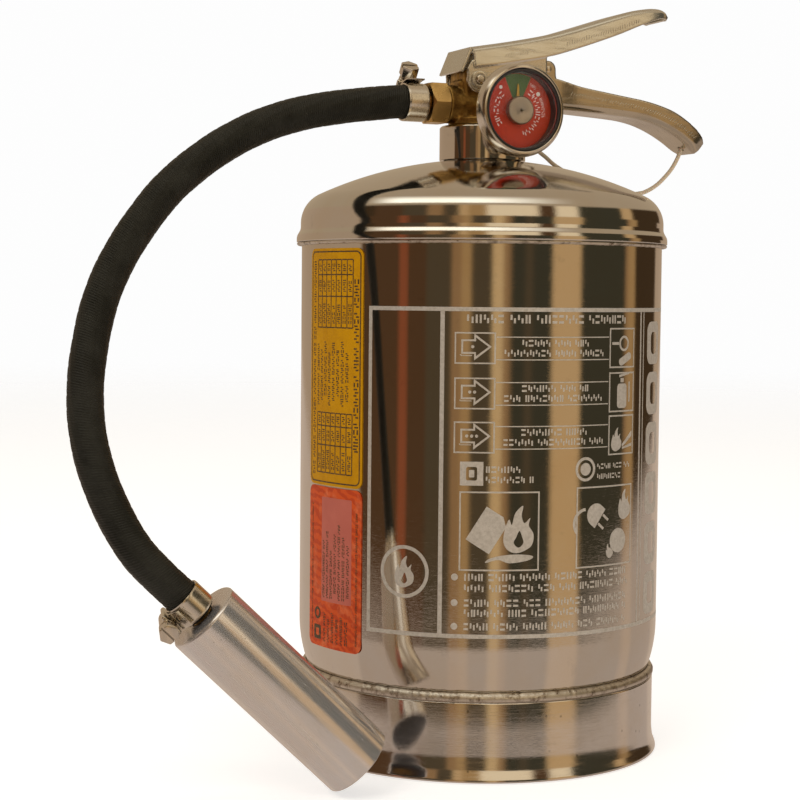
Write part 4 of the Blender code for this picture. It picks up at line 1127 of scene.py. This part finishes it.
HANDLE_STATIONS = [
    (12.4, 270.8, 12.4, 283.6, 9.3), (22.0, 270.7, 22.0, 283.8, 9.3),
    (31.0, 270.5, 31.0, 283.2, 9.3), (41.0, 270.1, 42.0, 280.4, 10.2),
    (52.0, 269.5, 53.5, 278.7, 10.4), (62.0, 268.9, 64.5, 277.2, 10.4),
    (70.0, 268.2, 73.2, 276.0, 10.4), (77.0, 266.8, 81.0, 274.3, 10.4),
    (83.0, 264.8, 88.2, 272.0, 10.4), (88.5, 262.3, 94.8, 268.5, 10.3),
    (93.5, 259.4, 100.0, 264.9, 10.0), (98.0, 256.2, 103.4, 261.6, 9.4),
    (101.4, 254.2, 105.0, 258.8, 8.2)]
LEVER_STATIONS = [
    (-10.6, 294.3, -9.2, 286.0, 11.0), (0.0, 296.2, 1.5, 287.6, 11.0),
    (9.0, 297.9, 10.6, 289.2, 11.0), (20.0, 300.2, 22.0, 291.4, 11.0),
    (27.0, 301.9, 29.2, 293.0, 11.0), (36.0, 304.5, 38.6, 296.0, 11.0),
    (46.0, 307.7, 48.8, 299.5, 11.0), (57.0, 311.3, 59.6, 303.5, 11.0),
    (66.0, 314.0, 68.4, 307.2, 11.0), (72.0, 315.3, 73.4, 309.2, 11.0),
    (77.0, 316.0, 77.8, 310.8, 10.8), (81.0, 315.9, 81.0, 311.6, 10.4),
    (84.0, 314.8, 83.2, 311.6, 9.6), (85.8, 312.9, 84.4, 311.0, 8.4)]


BEND_RADIUS = 3.0
KNURL_PITCH = 1.15


def channel(name, stations, wall, flare=0.0):
    """A stamped U-channel through stations of web point, cheek edge point and half width."""
    shape = bmesh.new()
    loops = []
    for web_x, web_z, edge_x, edge_z, half in smooth_line([Vector(s) for s in stations], 6):
        web, edge = Vector((web_x, 0.0, web_z)), Vector((edge_x, 0.0, edge_z))
        way, deep = (edge - web).normalized(), (edge - web).length
        bend = min(BEND_RADIUS, deep * 0.6)
        outer = arc(half - bend, bend, bend, 0, -90, 8)
        inner = arc(half - bend, bend, bend - wall, -90, 0, 8)
        edge_half = half + flare * (deep - bend)
        right, back = [(edge_half, deep)] + outer, inner + [(edge_half - wall, deep)]
        section = (right + [(-y, d) for y, d in reversed(right)]
                   + [(-y, d) for y, d in reversed(back)] + back)
        loops.append([shape.verts.new((web + way * d + Vector((0, y, 0))) * MM)
                      for y, d in section])
    skinned(shape, loops)
    shape.faces.new(loops[0])
    shape.faces.new(list(reversed(loops[-1])))
    return built(name, shape)


def cheek(name, points, low_y, high_y):
    """A flat plate in the XZ plane between two distances from the middle, all in millimetres."""
    return flat(name, [[(x * MM, z * MM) for x, z in points]], -high_y * MM, -low_y * MM)


def knurling(name, line, half_at, look, body, lean, length):
    """Short slanting ribs along a line on both cheeks, pressed into the steel."""
    parts, run = [], 0.0
    fine = spline_points([Vector((x, 0, z)) for x, z in line], 160)
    chance = random.Random(len(name))
    last = fine[0]
    for spot, after in zip(fine, fine[1:]):
        run += (spot - last).length
        last = spot
        if run < KNURL_PITCH:
            continue
        run = 0.0
        way = (after - spot).normalized()
        angle = math.atan2(way.z, way.x) + math.radians(lean + chance.uniform(-12, 12))
        reach = length * chance.uniform(0.7, 1.0)
        for side in (-1, 1):
            rib = box("rib", mm(-reach / 2, -0.16, -0.2), mm(reach / 2, 0.16, 0.2), 0.14 * MM, 2)
            place = at_axis(spot.x * MM, side * (half_at(spot.x) - 0.09) * MM, spot.z * MM)
            parts.append((rib, place @ Matrix.Rotation(-angle, 4, 'Y')
                          @ Matrix.Rotation(math.radians(90), 4, 'X')))
    piece(name, merged(name, parts), look, body, sharp=50)


def make_handle():
    ear = (arc(-7.1, 280.7, 4.9, 270, 90, 20) + [(18.0, 286.2)] + arc(26.3, 287.1, 3.6, 135, 0, 12)
           + [(30.2, 283.0), (30.0, 271.6), (12.9, 271.8), (8.6, 275.4)])
    far, near = 9.25, 7.85
    hole_way = frame_at(mm(97.5, -1.0, 256.5), (0.58, 0.0, 0.815), (0, 1, 0))
    mesh = moulded("handle_stamping", [
        (channel("handle_channel", HANDLE_STATIONS, 1.5), at_axis()),
        (cheek("ear_front", ear, -far, -near), at_axis() @ FRONT),
        (cheek("ear_back", ear, near, far), at_axis() @ FRONT)], 0.3 * MM, 6,
        cutters=[(rod("hole", 1.5 * MM, -4 * MM, 3 * MM, 24), hole_way)])
    piece("handle_stamping", mesh, "grip", "extinguisher", ["carry_handle"],
          sharp=70)

    def half_at(x):
        return 9.3 + 1.1 * min(1.0, max(0.0, (x - 31.0) / 12.0))

    line = [(36, 277.2), (48, 275.6), (60, 274.2), (70, 272.8), (80, 270.8), (88, 268.0),
            (94, 264.6), (100, 260.6)]
    knurling("handle_knurl", line, half_at, "grip", "extinguisher", 60, 2.4)


def make_lever():
    side = (arc(-7.1, 280.7, 5.3, 180, 285, 16) + [(0.0, 277.4), (24.7, 283.6), (24.7, 294.6),
                                                   (10.0, 292.0), (-10.6, 288.6), (-12.6, 285.4)])
    back_side = [(22.4 if x > 24 else x, z) for x, z in side]
    flap = [(-11.4, 294.3), (-15.7, 284.0), (-14.5, 283.6), (-10.2, 293.2)]
    nose = [(80.4, 315.8), (83.7, 314.7), (85.5, 312.8), (84.6, 311.1), (83.0, 311.3),
            (83.3, 312.4), (82.4, 313.4), (80.2, 314.3)]
    far, near = 10.95, 9.75
    slot = [(23.4, 282.0), (29.2, 282.0), (29.0, 288.5)] + arc(24.2, 293.9, 2.6, 20, 180, 12)
    mesh = moulded("lever_stamping", [
        (channel("lever_channel", LEVER_STATIONS, 1.3, 0.06), at_axis()),
        (cheek("side_front", side, -far, -near), at_axis() @ FRONT),
        (cheek("side_back", back_side, near, far), at_axis() @ FRONT),
        (cheek("flap", flap, -far, far), at_axis() @ FRONT),
        (cheek("nose", nose, -8.4, 8.4), at_axis() @ FRONT)], 0.3 * MM, 5,
        cutters=[(cheek("slot", slot, 9.0, 12.0), at_axis() @ FRONT)])
    piece("lever_stamping", mesh, "stamped", "lever", ["operating_lever"],
          sharp=70)
    knurling("lever_knurl", [(33, 297.5), (44, 301.2), (54, 304.2), (64, 307.8), (70, 310.2)],
             lambda x: 11.15, "stamped", "lever", 62, 2.3)
    knurling("lever_knurl_rear", [(4, 291.2), (10, 292.3), (16, 293.4)], lambda x: 11.15, "stamped",
             "lever", 62, 2.3)


def make_pins():
    half = 13.0
    pivot = across(PIVOT_X, PIVOT_Z)
    lathe("pivot_pin", [(0.0, half), (2.0, half), (2.0, -half), (0.0, -half)], "turned",
          ["lever_pivot_pin"], pivot, 0.9, 6, closed=False)
    lathe("pivot_washer", [(2.1, -11.75), (3.7, -11.75), (3.7, -11.15), (2.1, -11.15)], "stamped",
          (), pivot, 0.25, 3)
    lathe("pivot_circlip", [(2.3, 12.2), (4.6, 12.2), (4.6, 11.4), (2.3, 11.4)], "spring",
          ["pivot_clip"], pivot, 0.25, 3)
    pin_x, pin_z, eye_y = 26.3 * MM, 287.1 * MM, 19.3 * MM
    shaft = [(0.0, 16.9), (1.9, 16.9), (1.9, -8.6), (1.5, -9.3), (0.0, -9.45)]
    shaft = eased([(r * MM, z * MM) for r, z in shaft], 0.5 * MM, 4, closed=False)
    eye = eased([(r * MM, z * MM) for r, z in ((1.9, 1.6), (3.9, 1.6), (3.9, -1.6), (1.9, -1.6))],
                0.9 * MM, 5)
    eye_place = frame_at((pin_x, eye_y, pin_z), (1, 0, 0), (0, 1, 0))
    mesh = merged("pull_pin", [
        (turned("shaft", shaft, 64, closed=False), across(pin_x, pin_z)),
        (turned("eye", eye, 64), eye_place)])
    piece("pull_pin", mesh, "turned", "pin", ["safety_pin"])
    piece("pull_ring_wire", torus("pull_ring_wire", 12.0 * MM, 1.05 * MM, 128, 20), "turned",
          "ring", ["pull_ring"],
          frame_at((pin_x, eye_y, pin_z - 12.0 * MM), (0, 1, 0), (1, 0, 0)))
    loop = torus("tether_loop", 2.0 * MM, 0.75 * MM, 48, 14)
    piece("tether_loop", loop, "cord", "ring",
          matrix=frame_at(mm(26.9, 19.3, 262.3), (1, 0, 0.35), (0, 1, 0)))
    knot = [Vector((math.sin(t) + 2 * math.sin(2 * t), math.cos(t) - 2 * math.cos(2 * t),
                    -math.sin(3 * t))) * 0.62 * MM
            for t in (math.tau * i / 72 for i in range(73))]
    mesh = swept("tether_knot", knot, 0.78 * MM, 14)
    piece("tether_knot", mesh, "cord", "extinguisher",
          matrix=at_axis(*mm(99.4, -1.0, 259.6)))


# ---------------------------------------------------------------- gauge

def make_gauge():
    front = at_axis(z=GAUGE_Z) @ FRONT

    def ring(name, points, look, slot, nodes, ease, closed=True, sides=144):
        return lathe(name, points, look, nodes, front, ease, 5, sides, closed)

    ring("gauge_can", ((17.6, 36.0), (17.6, 29.4), (16.0, 27.0), (4.9, 27.0), (4.9, 28.2),
                       (15.7, 28.2), (16.8, 29.8), (16.8, 36.0)), "turned", "polished_steel",
         ["gauge_case"], 0.8)
    ring("gauge_rim", ((17.2, 38.3), (17.9, 38.05), (18.6, 37.0), (18.95, 35.4), (19.05, 33.8),
                       (19.05, 32.2), (17.9, 32.2), (17.9, 36.4), (17.3, 37.0), (16.8, 37.2),
                       (16.8, 38.1)), "turned", "polished_steel", ["gauge_bezel"], 0.5)
    # a black lining on the bezel's inner wall, in the gasket's place: painted shade and dark
    # reflection of the wall
    ring("gauge_inner_ring", ((16.5, 38.0), (16.5, 31.9), (15.2, 31.9), (15.2, 36.0), (15.7, 36.0),
                              (15.7, 38.0)), "black", "black_plastic", ["gauge_gasket"], 0.2)
    crown = [15.4 * math.sqrt(i / 12) for i in range(13)]
    face = [(r, 37.0 + 0.9 * max(0.0, 1 - (r / 15.2) ** 2)) for r in crown]
    rear = [(r, z - 0.7) for r, z in reversed(face)]
    lens = ring("gauge_window", face + rear, "glass", "gauge_glass", ["gauge_lens"], 0.0, False)
    lens.visible_shadow = False
    lens.visible_diffuse = False
    ring("gauge_face", ((1.4, 31.5), (16.5, 31.5), (16.5, 30.9), (1.4, 30.9)), "red", "dial_print",
         ["gauge_dial"], 0.1)

    def dial_part(name, meshes, look, low, high):
        shape = flat(name, meshes, low * MM, high * MM)
        piece(name, shape, look, "extinguisher", matrix=front, sharp=30)

    def polar(radius, angle):
        turn = math.radians(angle)
        return radius * math.cos(turn) * MM, radius * math.sin(turn) * MM

    def sector(inner, outer, start, end, steps=16):
        return ([polar(outer, start + (end - start) * i / steps) for i in range(steps + 1)]
                + [polar(inner, end + (start - end) * i / steps) for i in range(steps + 1)])

    dial_part("gauge_green_zone", [sector(5.6, 15.1, 66, 113)], "green", 31.5, 31.54)
    marks = []
    chance = random.Random(3)
    for start, end, radius, size in ((218, 138, 9.6, 2.1), (56, -66, 9.6, 2.1),
                                     (28, -8, 12.0, 1.2), (62, 48, 12.6, 1.2)):
        angle = start
        while angle > end:
            wide = math.degrees(size * chance.uniform(0.45, 0.7) / radius)
            pen = math.degrees(size * 0.17 / radius)
            shift = size * chance.choice((0.0, 0.0, 0.3, 0.5))
            inner, outer = radius - size / 2, radius + size / 2
            marks.append(sector(inner + shift, outer, angle - pen, angle, 2))
            marks.append(sector(inner, outer - shift, angle - wide, angle - wide + pen, 2))
            if not shift and chance.random() < 0.5:
                marks[-2:] = [sector(low, low + size * 0.2, angle - wide, angle, 3)
                              for low in (inner, radius + size * 0.3)]
            angle -= wide + math.degrees(size * 0.3 / radius)
    marks += [disc(*polar(12.0, 37), 0.9 * MM), disc(*polar(12.0, 129), 0.75 * MM)]
    dial_part("gauge_marks", marks, "print", 31.5, 31.56)
    ring("gauge_knob", ((0.0, 34.4), (0.42, 34.4), (0.48, 35.45), (1.0, 35.75), (5.3, 35.75),
                        (5.75, 35.3), (5.75, 32.7), (1.0, 32.7), (1.0, 29.2), (0.0, 29.2)), "hub",
         "brushed_aluminium", ["gauge_hub"], 0.25, False, 96)
    needle = [polar(2.9, 110 + 320 * i / 24) for i in range(25)]
    needle += [polar(*spot) for spot in ((4.6, 82), (10.4, 88.2), (11.0, 90), (10.4, 91.8),
                                         (4.6, 98))]
    mesh = flat("gauge_pointer", [needle, [polar(1.4, 15 * i) for i in range(24)]],
                31.9 * MM, 32.3 * MM)
    piece("gauge_pointer", mesh, "needle", "needle", ["gauge_needle"], front, 30)


# ---------------------------------------------------------------- clamps and nozzle

NOZZLE_TOP = Vector((-142.6, -58.1, 71.1)) * MM
NOZZLE_WAY = Vector((0.717, -0.055, -0.695)).normalized()
NOZZLE_LENGTH = 85.0
NOZZLE_RADIUS = 14.75
CLAMP_RADIUS = 7.95
SCREW_REACH = 10.9


def make_clamp(name, place, way, outward):
    """A worm-drive clamp: a grooved band with its tail, a pressed housing and a slotted screw."""
    axes = frame_at(place, way, outward)
    inner, outer, half = 7.25, CLAMP_RADIUS, 4.5
    profile = [(outer, half - 0.5 * i) for i in range(19)] + [(inner, -half), (inner, half)]
    profile = [(r * MM, z * MM) for r, z in profile]

    def grooves(angle, radius, height):
        if radius < 7.7 * MM:
            return radius, height
        away = abs(math.remainder(angle, math.tau))
        wave = math.cos(25 * angle + height / MM * 0.55)
        inside = max(0.0, min(1.0, (3.5 - abs(height / MM)) / 0.4))
        slotted = inside if 0.7 < away < 1.5 else 0.0
        deep = 0.2 * max(0.0, min(1.0, (wave - 0.3) / 0.3)) * slotted
        rim = 0.12 if abs(height / MM) > 4.2 else 0.0
        return radius - (deep + rim) * MM, height

    band = turned(name + "_band", profile, 480, shift=grooves)
    tail = bmesh.new()
    rows = []
    for i in range(13):
        share = i / 12
        angle = math.radians(30 + 46 * share)
        reach = outer + 0.12 + 1.7 * share ** 2
        rows.append([tail.verts.new(((reach + up) * math.cos(angle) * MM,
                                     (reach + up) * math.sin(angle) * MM, z * MM))
                     for up, z in ((0, -3.9), (0.6, -3.9), (0.6, 3.9), (0, 3.9))])
    skinned(tail, rows)
    tail.faces.new(rows[0])
    tail.faces.new(list(reversed(rows[-1])))
    band = merged(name + "_strap", [(band, axes), (built("tail", tail), axes)])
    piece(name + "_strap", band, "clamp", "extinguisher", [name + "_band"], sharp=40)
    tangent = axes @ Matrix.Translation((SCREW_REACH * MM, 0, 0)) @ Matrix.Rotation(
        -math.pi / 2, 4, 'X')
    cover = moulded(name + "_cover", [
        (box("saddle", mm(8.4, -5.6, -4.8), mm(10.3, 5.2, 4.8), 0.7 * MM), axes),
        (box("crown", mm(8.7, -5.2, -3.3), mm(12.9, 4.8, 3.3), 1.0 * MM), axes),
        (rod("barrel", 3.35 * MM, -5.9 * MM, 5.5 * MM, 48, 0.5 * MM), tangent)],
        0.22 * MM, 4, cutters=[(rod("bore", 2.3 * MM, -8 * MM, 8 * MM, 32), tangent)])
    piece(name + "_cover", cover, "clamp", "extinguisher", [name + "_housing"],
          sharp=50)

    thread_pitch, thread_depth = 1.5 * MM, 0.3 * MM

    def thread(angle, radius, height):
        if radius > 2.0 * MM and -7 * MM < height < 6 * MM:
            wave = math.cos(angle - height * math.tau / thread_pitch)
            radius -= thread_depth * (0.5 + 0.5 * wave)
        return radius, height

    shank = [(0.0, -7.2), (1.6, -7.2), (2.2, -6.7)] + [(2.2, -6.7 + 0.25 * i) for i in range(1, 52)]
    shank += [(2.2, 8.0), (0.0, 8.0)]
    worm = turned("worm", [(r * MM, z * MM) for r, z in reversed(shank)], 40, closed=False,
                  shift=thread)
    head = loose("head", merged("head", [(prism("hex", 4.0 * MM, 6.4 * MM, 11.4 * MM, 6, 0.4,
                                                0.35 * MM), None)]))
    saw = loose("saw", box("saw", mm(-0.55, -6, 10.0), mm(0.55, 6, 14)))
    boolean(head, 'DIFFERENCE', saw)
    head_mesh = evaluated(head)
    bpy.data.objects.remove(saw, do_unlink=True)
    screw = merged(name + "_worm", [(worm, tangent), (head_mesh, tangent)])
    piece(name + "_worm", screw, "turned", "extinguisher", [name + "_screw"],
          sharp=32)


def make_nozzle():
    axes = frame_at(NOZZLE_TOP, -NOZZLE_WAY, (0, 1, 0))
    hole, end_wall, inner = 5.0, 2.2, NOZZLE_RADIUS - 1.4
    horn = [(hole, 0.0), (NOZZLE_RADIUS - 0.7, 0.0), (NOZZLE_RADIUS, -0.7),
            (NOZZLE_RADIUS, -40.0), (NOZZLE_RADIUS, -NOZZLE_LENGTH), (inner, -NOZZLE_LENGTH),
            (inner, -40.0), (inner, -end_wall), (hole, -end_wall)]
    return lathe("nozzle_tube", horn, "nozzle", ["nozzle_horn"], axes, 0.35,
                 sides=192, limit=175)


def make_plain():
    """CAD nodes that keep their own shape and take a finish."""
    for name, look in (("gauge_stem", "turned_brass"), ("bourdon_coil", "turned_brass"),
                       ("siphon_adapter", "turned_brass"), ("siphon_tube", "ivory"),
                       ("valve_stem", "turned"), ("stem_seal", "seal"), ("stem_oring", "seal"),
                       ("handle_rivet", "turned"),
                       ("nozzle_barb", "turned_brass"), ("nozzle_orifice", "turned_brass")):
        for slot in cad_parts[name].material_slots:
            slot.material = MATERIALS[look]


def make_spring():
    """The spring under the poppet, built as one fixed coil that doesn't shorten as the stem goes
    down.
    """
    low, high, turns, each = 242.1 * MM, 249.2 * MM, 4, 24
    coil_radius, wire_radius = 5.2 * MM, 0.45 * MM
    line = []
    for i in range(turns * each + 1):
        angle = math.tau * i / each
        height = low + (high - low) * i / (turns * each)
        line.append(at_axis() @ Vector((coil_radius * math.cos(angle),
                                        coil_radius * math.sin(angle), height)))
    coil = piece("valve_coil", swept("valve_coil", line, wire_radius, 12), "spring",
                 "extinguisher", ["valve_spring"])
    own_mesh(coil)


make_valve()
make_spring()
make_handle()
make_lever()
make_pins()
make_gauge()
UPPER_CLAMP = Vector((-32.7, 0.0, 271.0)) * MM
LOWER_CLAMP = NOZZLE_TOP - NOZZLE_WAY * 6.8 * MM
make_clamp("upper_clamp", UPPER_CLAMP, (1, 0, 0), (0, math.cos(math.radians(35)),
                                                   math.sin(math.radians(35))))
make_clamp("lower_clamp", LOWER_CLAMP, -NOZZLE_WAY, (-0.614, 0.299, -0.73))
NOZZLE = make_nozzle()
make_plain()
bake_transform(TETHER)
# a short length from the tether's end to the ring's loop
LOOP_FOOT = at_axis(*mm(26.3, 19.3, 260.4)).to_translation()
LINK_PATH = spline_points([TETHER_PATH[4], TETHER_PATH[0], LOOP_FOOT], 48)
LINK = piece("tether_link", swept("tether_link", LINK_PATH, TETHER_RADIUS * 0.96, 16), "cord", None)
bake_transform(LINK)


# ---------------------------------------------------------------- floor, light and surroundings

def degrees_share(angle):
    return (angle + 180.0) / 360.0


BEIGE = (0.44, 0.32, 0.215)
TAN = (0.56, 0.36, 0.17)
SAND = (0.3, 0.17, 0.075)
BRIGHT = (0.6, 0.4, 0.19)
BROWN = (0.09, 0.045, 0.02)
GREY = (0.05, 0.043, 0.026)
PLUM = (0.085, 0.06, 0.033)
RUST = (0.26, 0.075, 0.03)
UMBER = (0.4, 0.24, 0.1)
DARK = (0.055, 0.032, 0.015)
WINDOW = (0.86, 0.68, 0.44)
# Strips round the room by twice the angle of the surface that mirrors them, in degrees to the
# right of the camera's side: where each starts
ROOM = [(-180, BEIGE), (-80, BROWN), (-52, RUST), (-46, BROWN), (-34, PLUM), (-18, SAND),
        (-12, UMBER), (-6, PLUM), (6.5, BRIGHT), (13.5, SAND), (18, GREY), (27, PLUM), (32, GREY),
        (44.5, TAN), (65, GREY), (102, SAND), (105, UMBER), (113, DARK),
        (144, BEIGE)]
HIGH_ROOM = [(-180, BEIGE), (-82, DARK), (-70, BROWN), (-50, PLUM), (-34, SAND), (-24, PLUM),
             (-14, TAN), (-8, UMBER), (3, WINDOW), (35, BROWN), (46, WINDOW), (62, GREY), (97, TAN),
             (108, DARK), (150, BEIGE)]


STRIP_SOFTNESS = 0.9
# Tilt of the mirroring surface, in degrees up, where one surrounding changes to the next
HIGH_ROOM_TILT = (4.5, 6.5)
CEILING_TILT = (22, 26)
TABLE_TILT = (-6.1, -6.7)
# The light streak on the dome: tilts it grows and fades between, and angles round the dome
STREAK_TILTS = ((27, 29), (43, 33))
STREAK_ANGLES = ((-40, -26), (34, -6))
CEILING = (0.44, 0.335, 0.22)
STREAK = (1.7, 1.6, 1.35)
TABLE = (0.6, 0.48, 0.39)
TABLE_ROOM_SHARE = 0.24
SOFT_LIGHT = (0.4, 0.37, 0.33)
BACKDROP = (0.985, 0.985, 0.985)


def strips(sky, angle, bands):
    """Colours by angle from (start, colour) bands with slightly soft edges."""
    ramp = sky.add('ShaderNodeValToRGB')
    stops = ramp.color_ramp.elements
    places = [(degrees_share(-180), bands[0][1])]
    for (_, before), (start, after) in zip(bands, bands[1:]):
        places += [(degrees_share(start - STRIP_SOFTNESS), before),
                   (degrees_share(start + STRIP_SOFTNESS), after)]
    stops[0].position, stops[0].color = places[0][0], (*places[0][1], 1)
    stops[1].position, stops[1].color = 1.0, (*bands[-1][1], 1)
    for place, colour in places[1:]:
        stops.new(place).color = (*colour, 1)
    sky.link(angle, ramp.inputs["Fac"])
    return ramp.outputs["Color"]


def make_world():
    world = bpy.data.worlds.new("studio")
    bpy.context.scene.world = world
    world.use_nodes = True
    world.node_tree.nodes.clear()
    sky = Nodes(world.node_tree)
    place = sky.add('ShaderNodeTexCoord').outputs["Generated"]
    turned_place = sky.add('ShaderNodeVectorRotate', rotation_type='Z_AXIS')
    turned_place.inputs["Angle"].default_value = -VIEW_TURN
    sky.link(place, turned_place.inputs["Vector"])
    # halfway between this direction and the camera's side: a mirror facing that way shows it
    away = sky.add('ShaderNodeVectorMath', operation='SUBTRACT')
    away.inputs[1].default_value = (0.0, 1.0, 0.0)
    sky.link(turned_place.outputs["Vector"], away.inputs[0])
    halfway = sky.add('ShaderNodeVectorMath', operation='NORMALIZE')
    sky.link(away.outputs["Vector"], halfway.inputs[0])
    parts = sky.add('ShaderNodeSeparateXYZ')
    sky.link(halfway.outputs["Vector"], parts.inputs["Vector"])
    x, y, tilt = parts.outputs
    angle = sky.maths('ARCTAN2', x, sky.maths('MULTIPLY', y, -1.0))
    share = sky.maths('ADD', sky.maths('DIVIDE', angle, math.pi), 0.5)

    def tilted(low, high):
        return sky.eased_span(tilt, math.sin(math.radians(low)), math.sin(math.radians(high)))

    def turned_past(low, high):
        return sky.eased_span(angle, math.radians(low), math.radians(high))

    def all_round(bands):
        left = [band for band in bands if band[0] < 0]
        right = [(0, left[-1][1])] + bands[len(left):]
        return sky.mix(sky.maths('GREATER_THAN', share, 0.5), strips(sky, share, left),
                       strips(sky, share, right))

    glossy = sky.mix(tilted(*HIGH_ROOM_TILT), all_round(ROOM), all_round(HIGH_ROOM))
    glossy = sky.mix(tilted(*CEILING_TILT), glossy, CEILING)
    streak = sky.maths('MULTIPLY', *(tilted(*limits) for limits in STREAK_TILTS))
    for limits in STREAK_ANGLES:
        streak = sky.maths('MULTIPLY', streak, turned_past(*limits))
    glossy = sky.mix(streak, glossy, STREAK)
    table = sky.mix(TABLE_ROOM_SHARE, TABLE, all_round(ROOM))
    glossy = sky.mix(tilted(*TABLE_TILT), glossy, table)
    paths = sky.add('ShaderNodeLightPath')
    soft = sky.mix(paths.outputs["Is Glossy Ray"], SOFT_LIGHT, glossy)
    final = sky.mix(paths.outputs["Is Camera Ray"], soft, BACKDROP)
    background = sky.add('ShaderNodeBackground')
    sky.link(final, background.inputs["Color"])
    output = sky.add('ShaderNodeOutputWorld')
    sky.link(background.outputs["Background"], output.inputs["Surface"])


FLOOR_RADIUS = 6.0
FLOOR_DROP = 0.0004
FADE_START, FADE_END = 0.7, 4.5
LAMP_TARGET = Vector((0, 0, 0.15))


def make_floor():
    """A pale round floor that fades out far away; metal mirrors the surroundings instead."""
    shape = bmesh.new()
    bmesh.ops.create_circle(shape, cap_ends=True, segments=96, radius=FLOOR_RADIUS)
    floor = loose("pale_floor", built("pale_floor", shape), Matrix.Translation((0, 0, -FLOOR_DROP)))
    look = Look("pale_floor", (0.8, 0.79, 0.77), rough=0.8, Specular_IOR_Level=0.1,
                Emission_Color=(0.97, 0.97, 0.97, 1), Emission_Strength=0.62)
    grain = look.add('ShaderNodeTexNoise')
    grain.inputs["Scale"].default_value = 9.0
    look.colour(look.mix(grain.outputs["Fac"], (0.8, 0.79, 0.77), (0.83, 0.82, 0.81)))
    far = look.add('ShaderNodeVectorMath', operation='LENGTH')
    look.link(look.place, far.inputs[0])
    clear = look.add('ShaderNodeBsdfTransparent')
    blend = look.add('ShaderNodeMixShader')
    look.link(look.eased_span(far.outputs["Value"], FADE_START, FADE_END), blend.inputs["Fac"])
    look.link(look.shader.outputs["BSDF"], blend.inputs[1])
    look.link(clear.outputs["BSDF"], blend.inputs[2])
    look.link(blend.outputs["Shader"], look.tree.nodes["Material Output"].inputs["Surface"])
    floor.data.materials.append(look.material)
    floor.visible_glossy = False


def make_lamp(name, place, side, power, colour):
    """A square area light that points at the middle of the object and isn't mirrored."""
    data = bpy.data.lights.new(name, 'AREA')
    data.shape = 'RECTANGLE'
    data.size, data.size_y = side, side
    data.energy = power
    data.color = colour
    lamp = bpy.data.objects.new(name, data)
    bpy.context.scene.collection.objects.link(lamp)
    lamp.location = place
    way = (LAMP_TARGET - Vector(place)).normalized()
    lamp.rotation_mode = 'QUATERNION'
    lamp.rotation_quaternion = way.to_track_quat('-Z', 'Y')
    lamp.visible_glossy = False


make_world()
make_floor()
make_lamp("key_light", (-1.3, -1.0, 1.5), 0.9, 9.0, (1.0, 0.95, 0.88))
make_lamp("fill_light", (0.7, -1.6, 0.8), 0.9, 4.0, (1.0, 0.94, 0.86))
make_lamp("top_light", (0.1, 0.3, 1.8), 1.0, 5.0, (1.0, 0.97, 0.92))
bpy.context.scene.view_settings.view_transform = 'Standard'
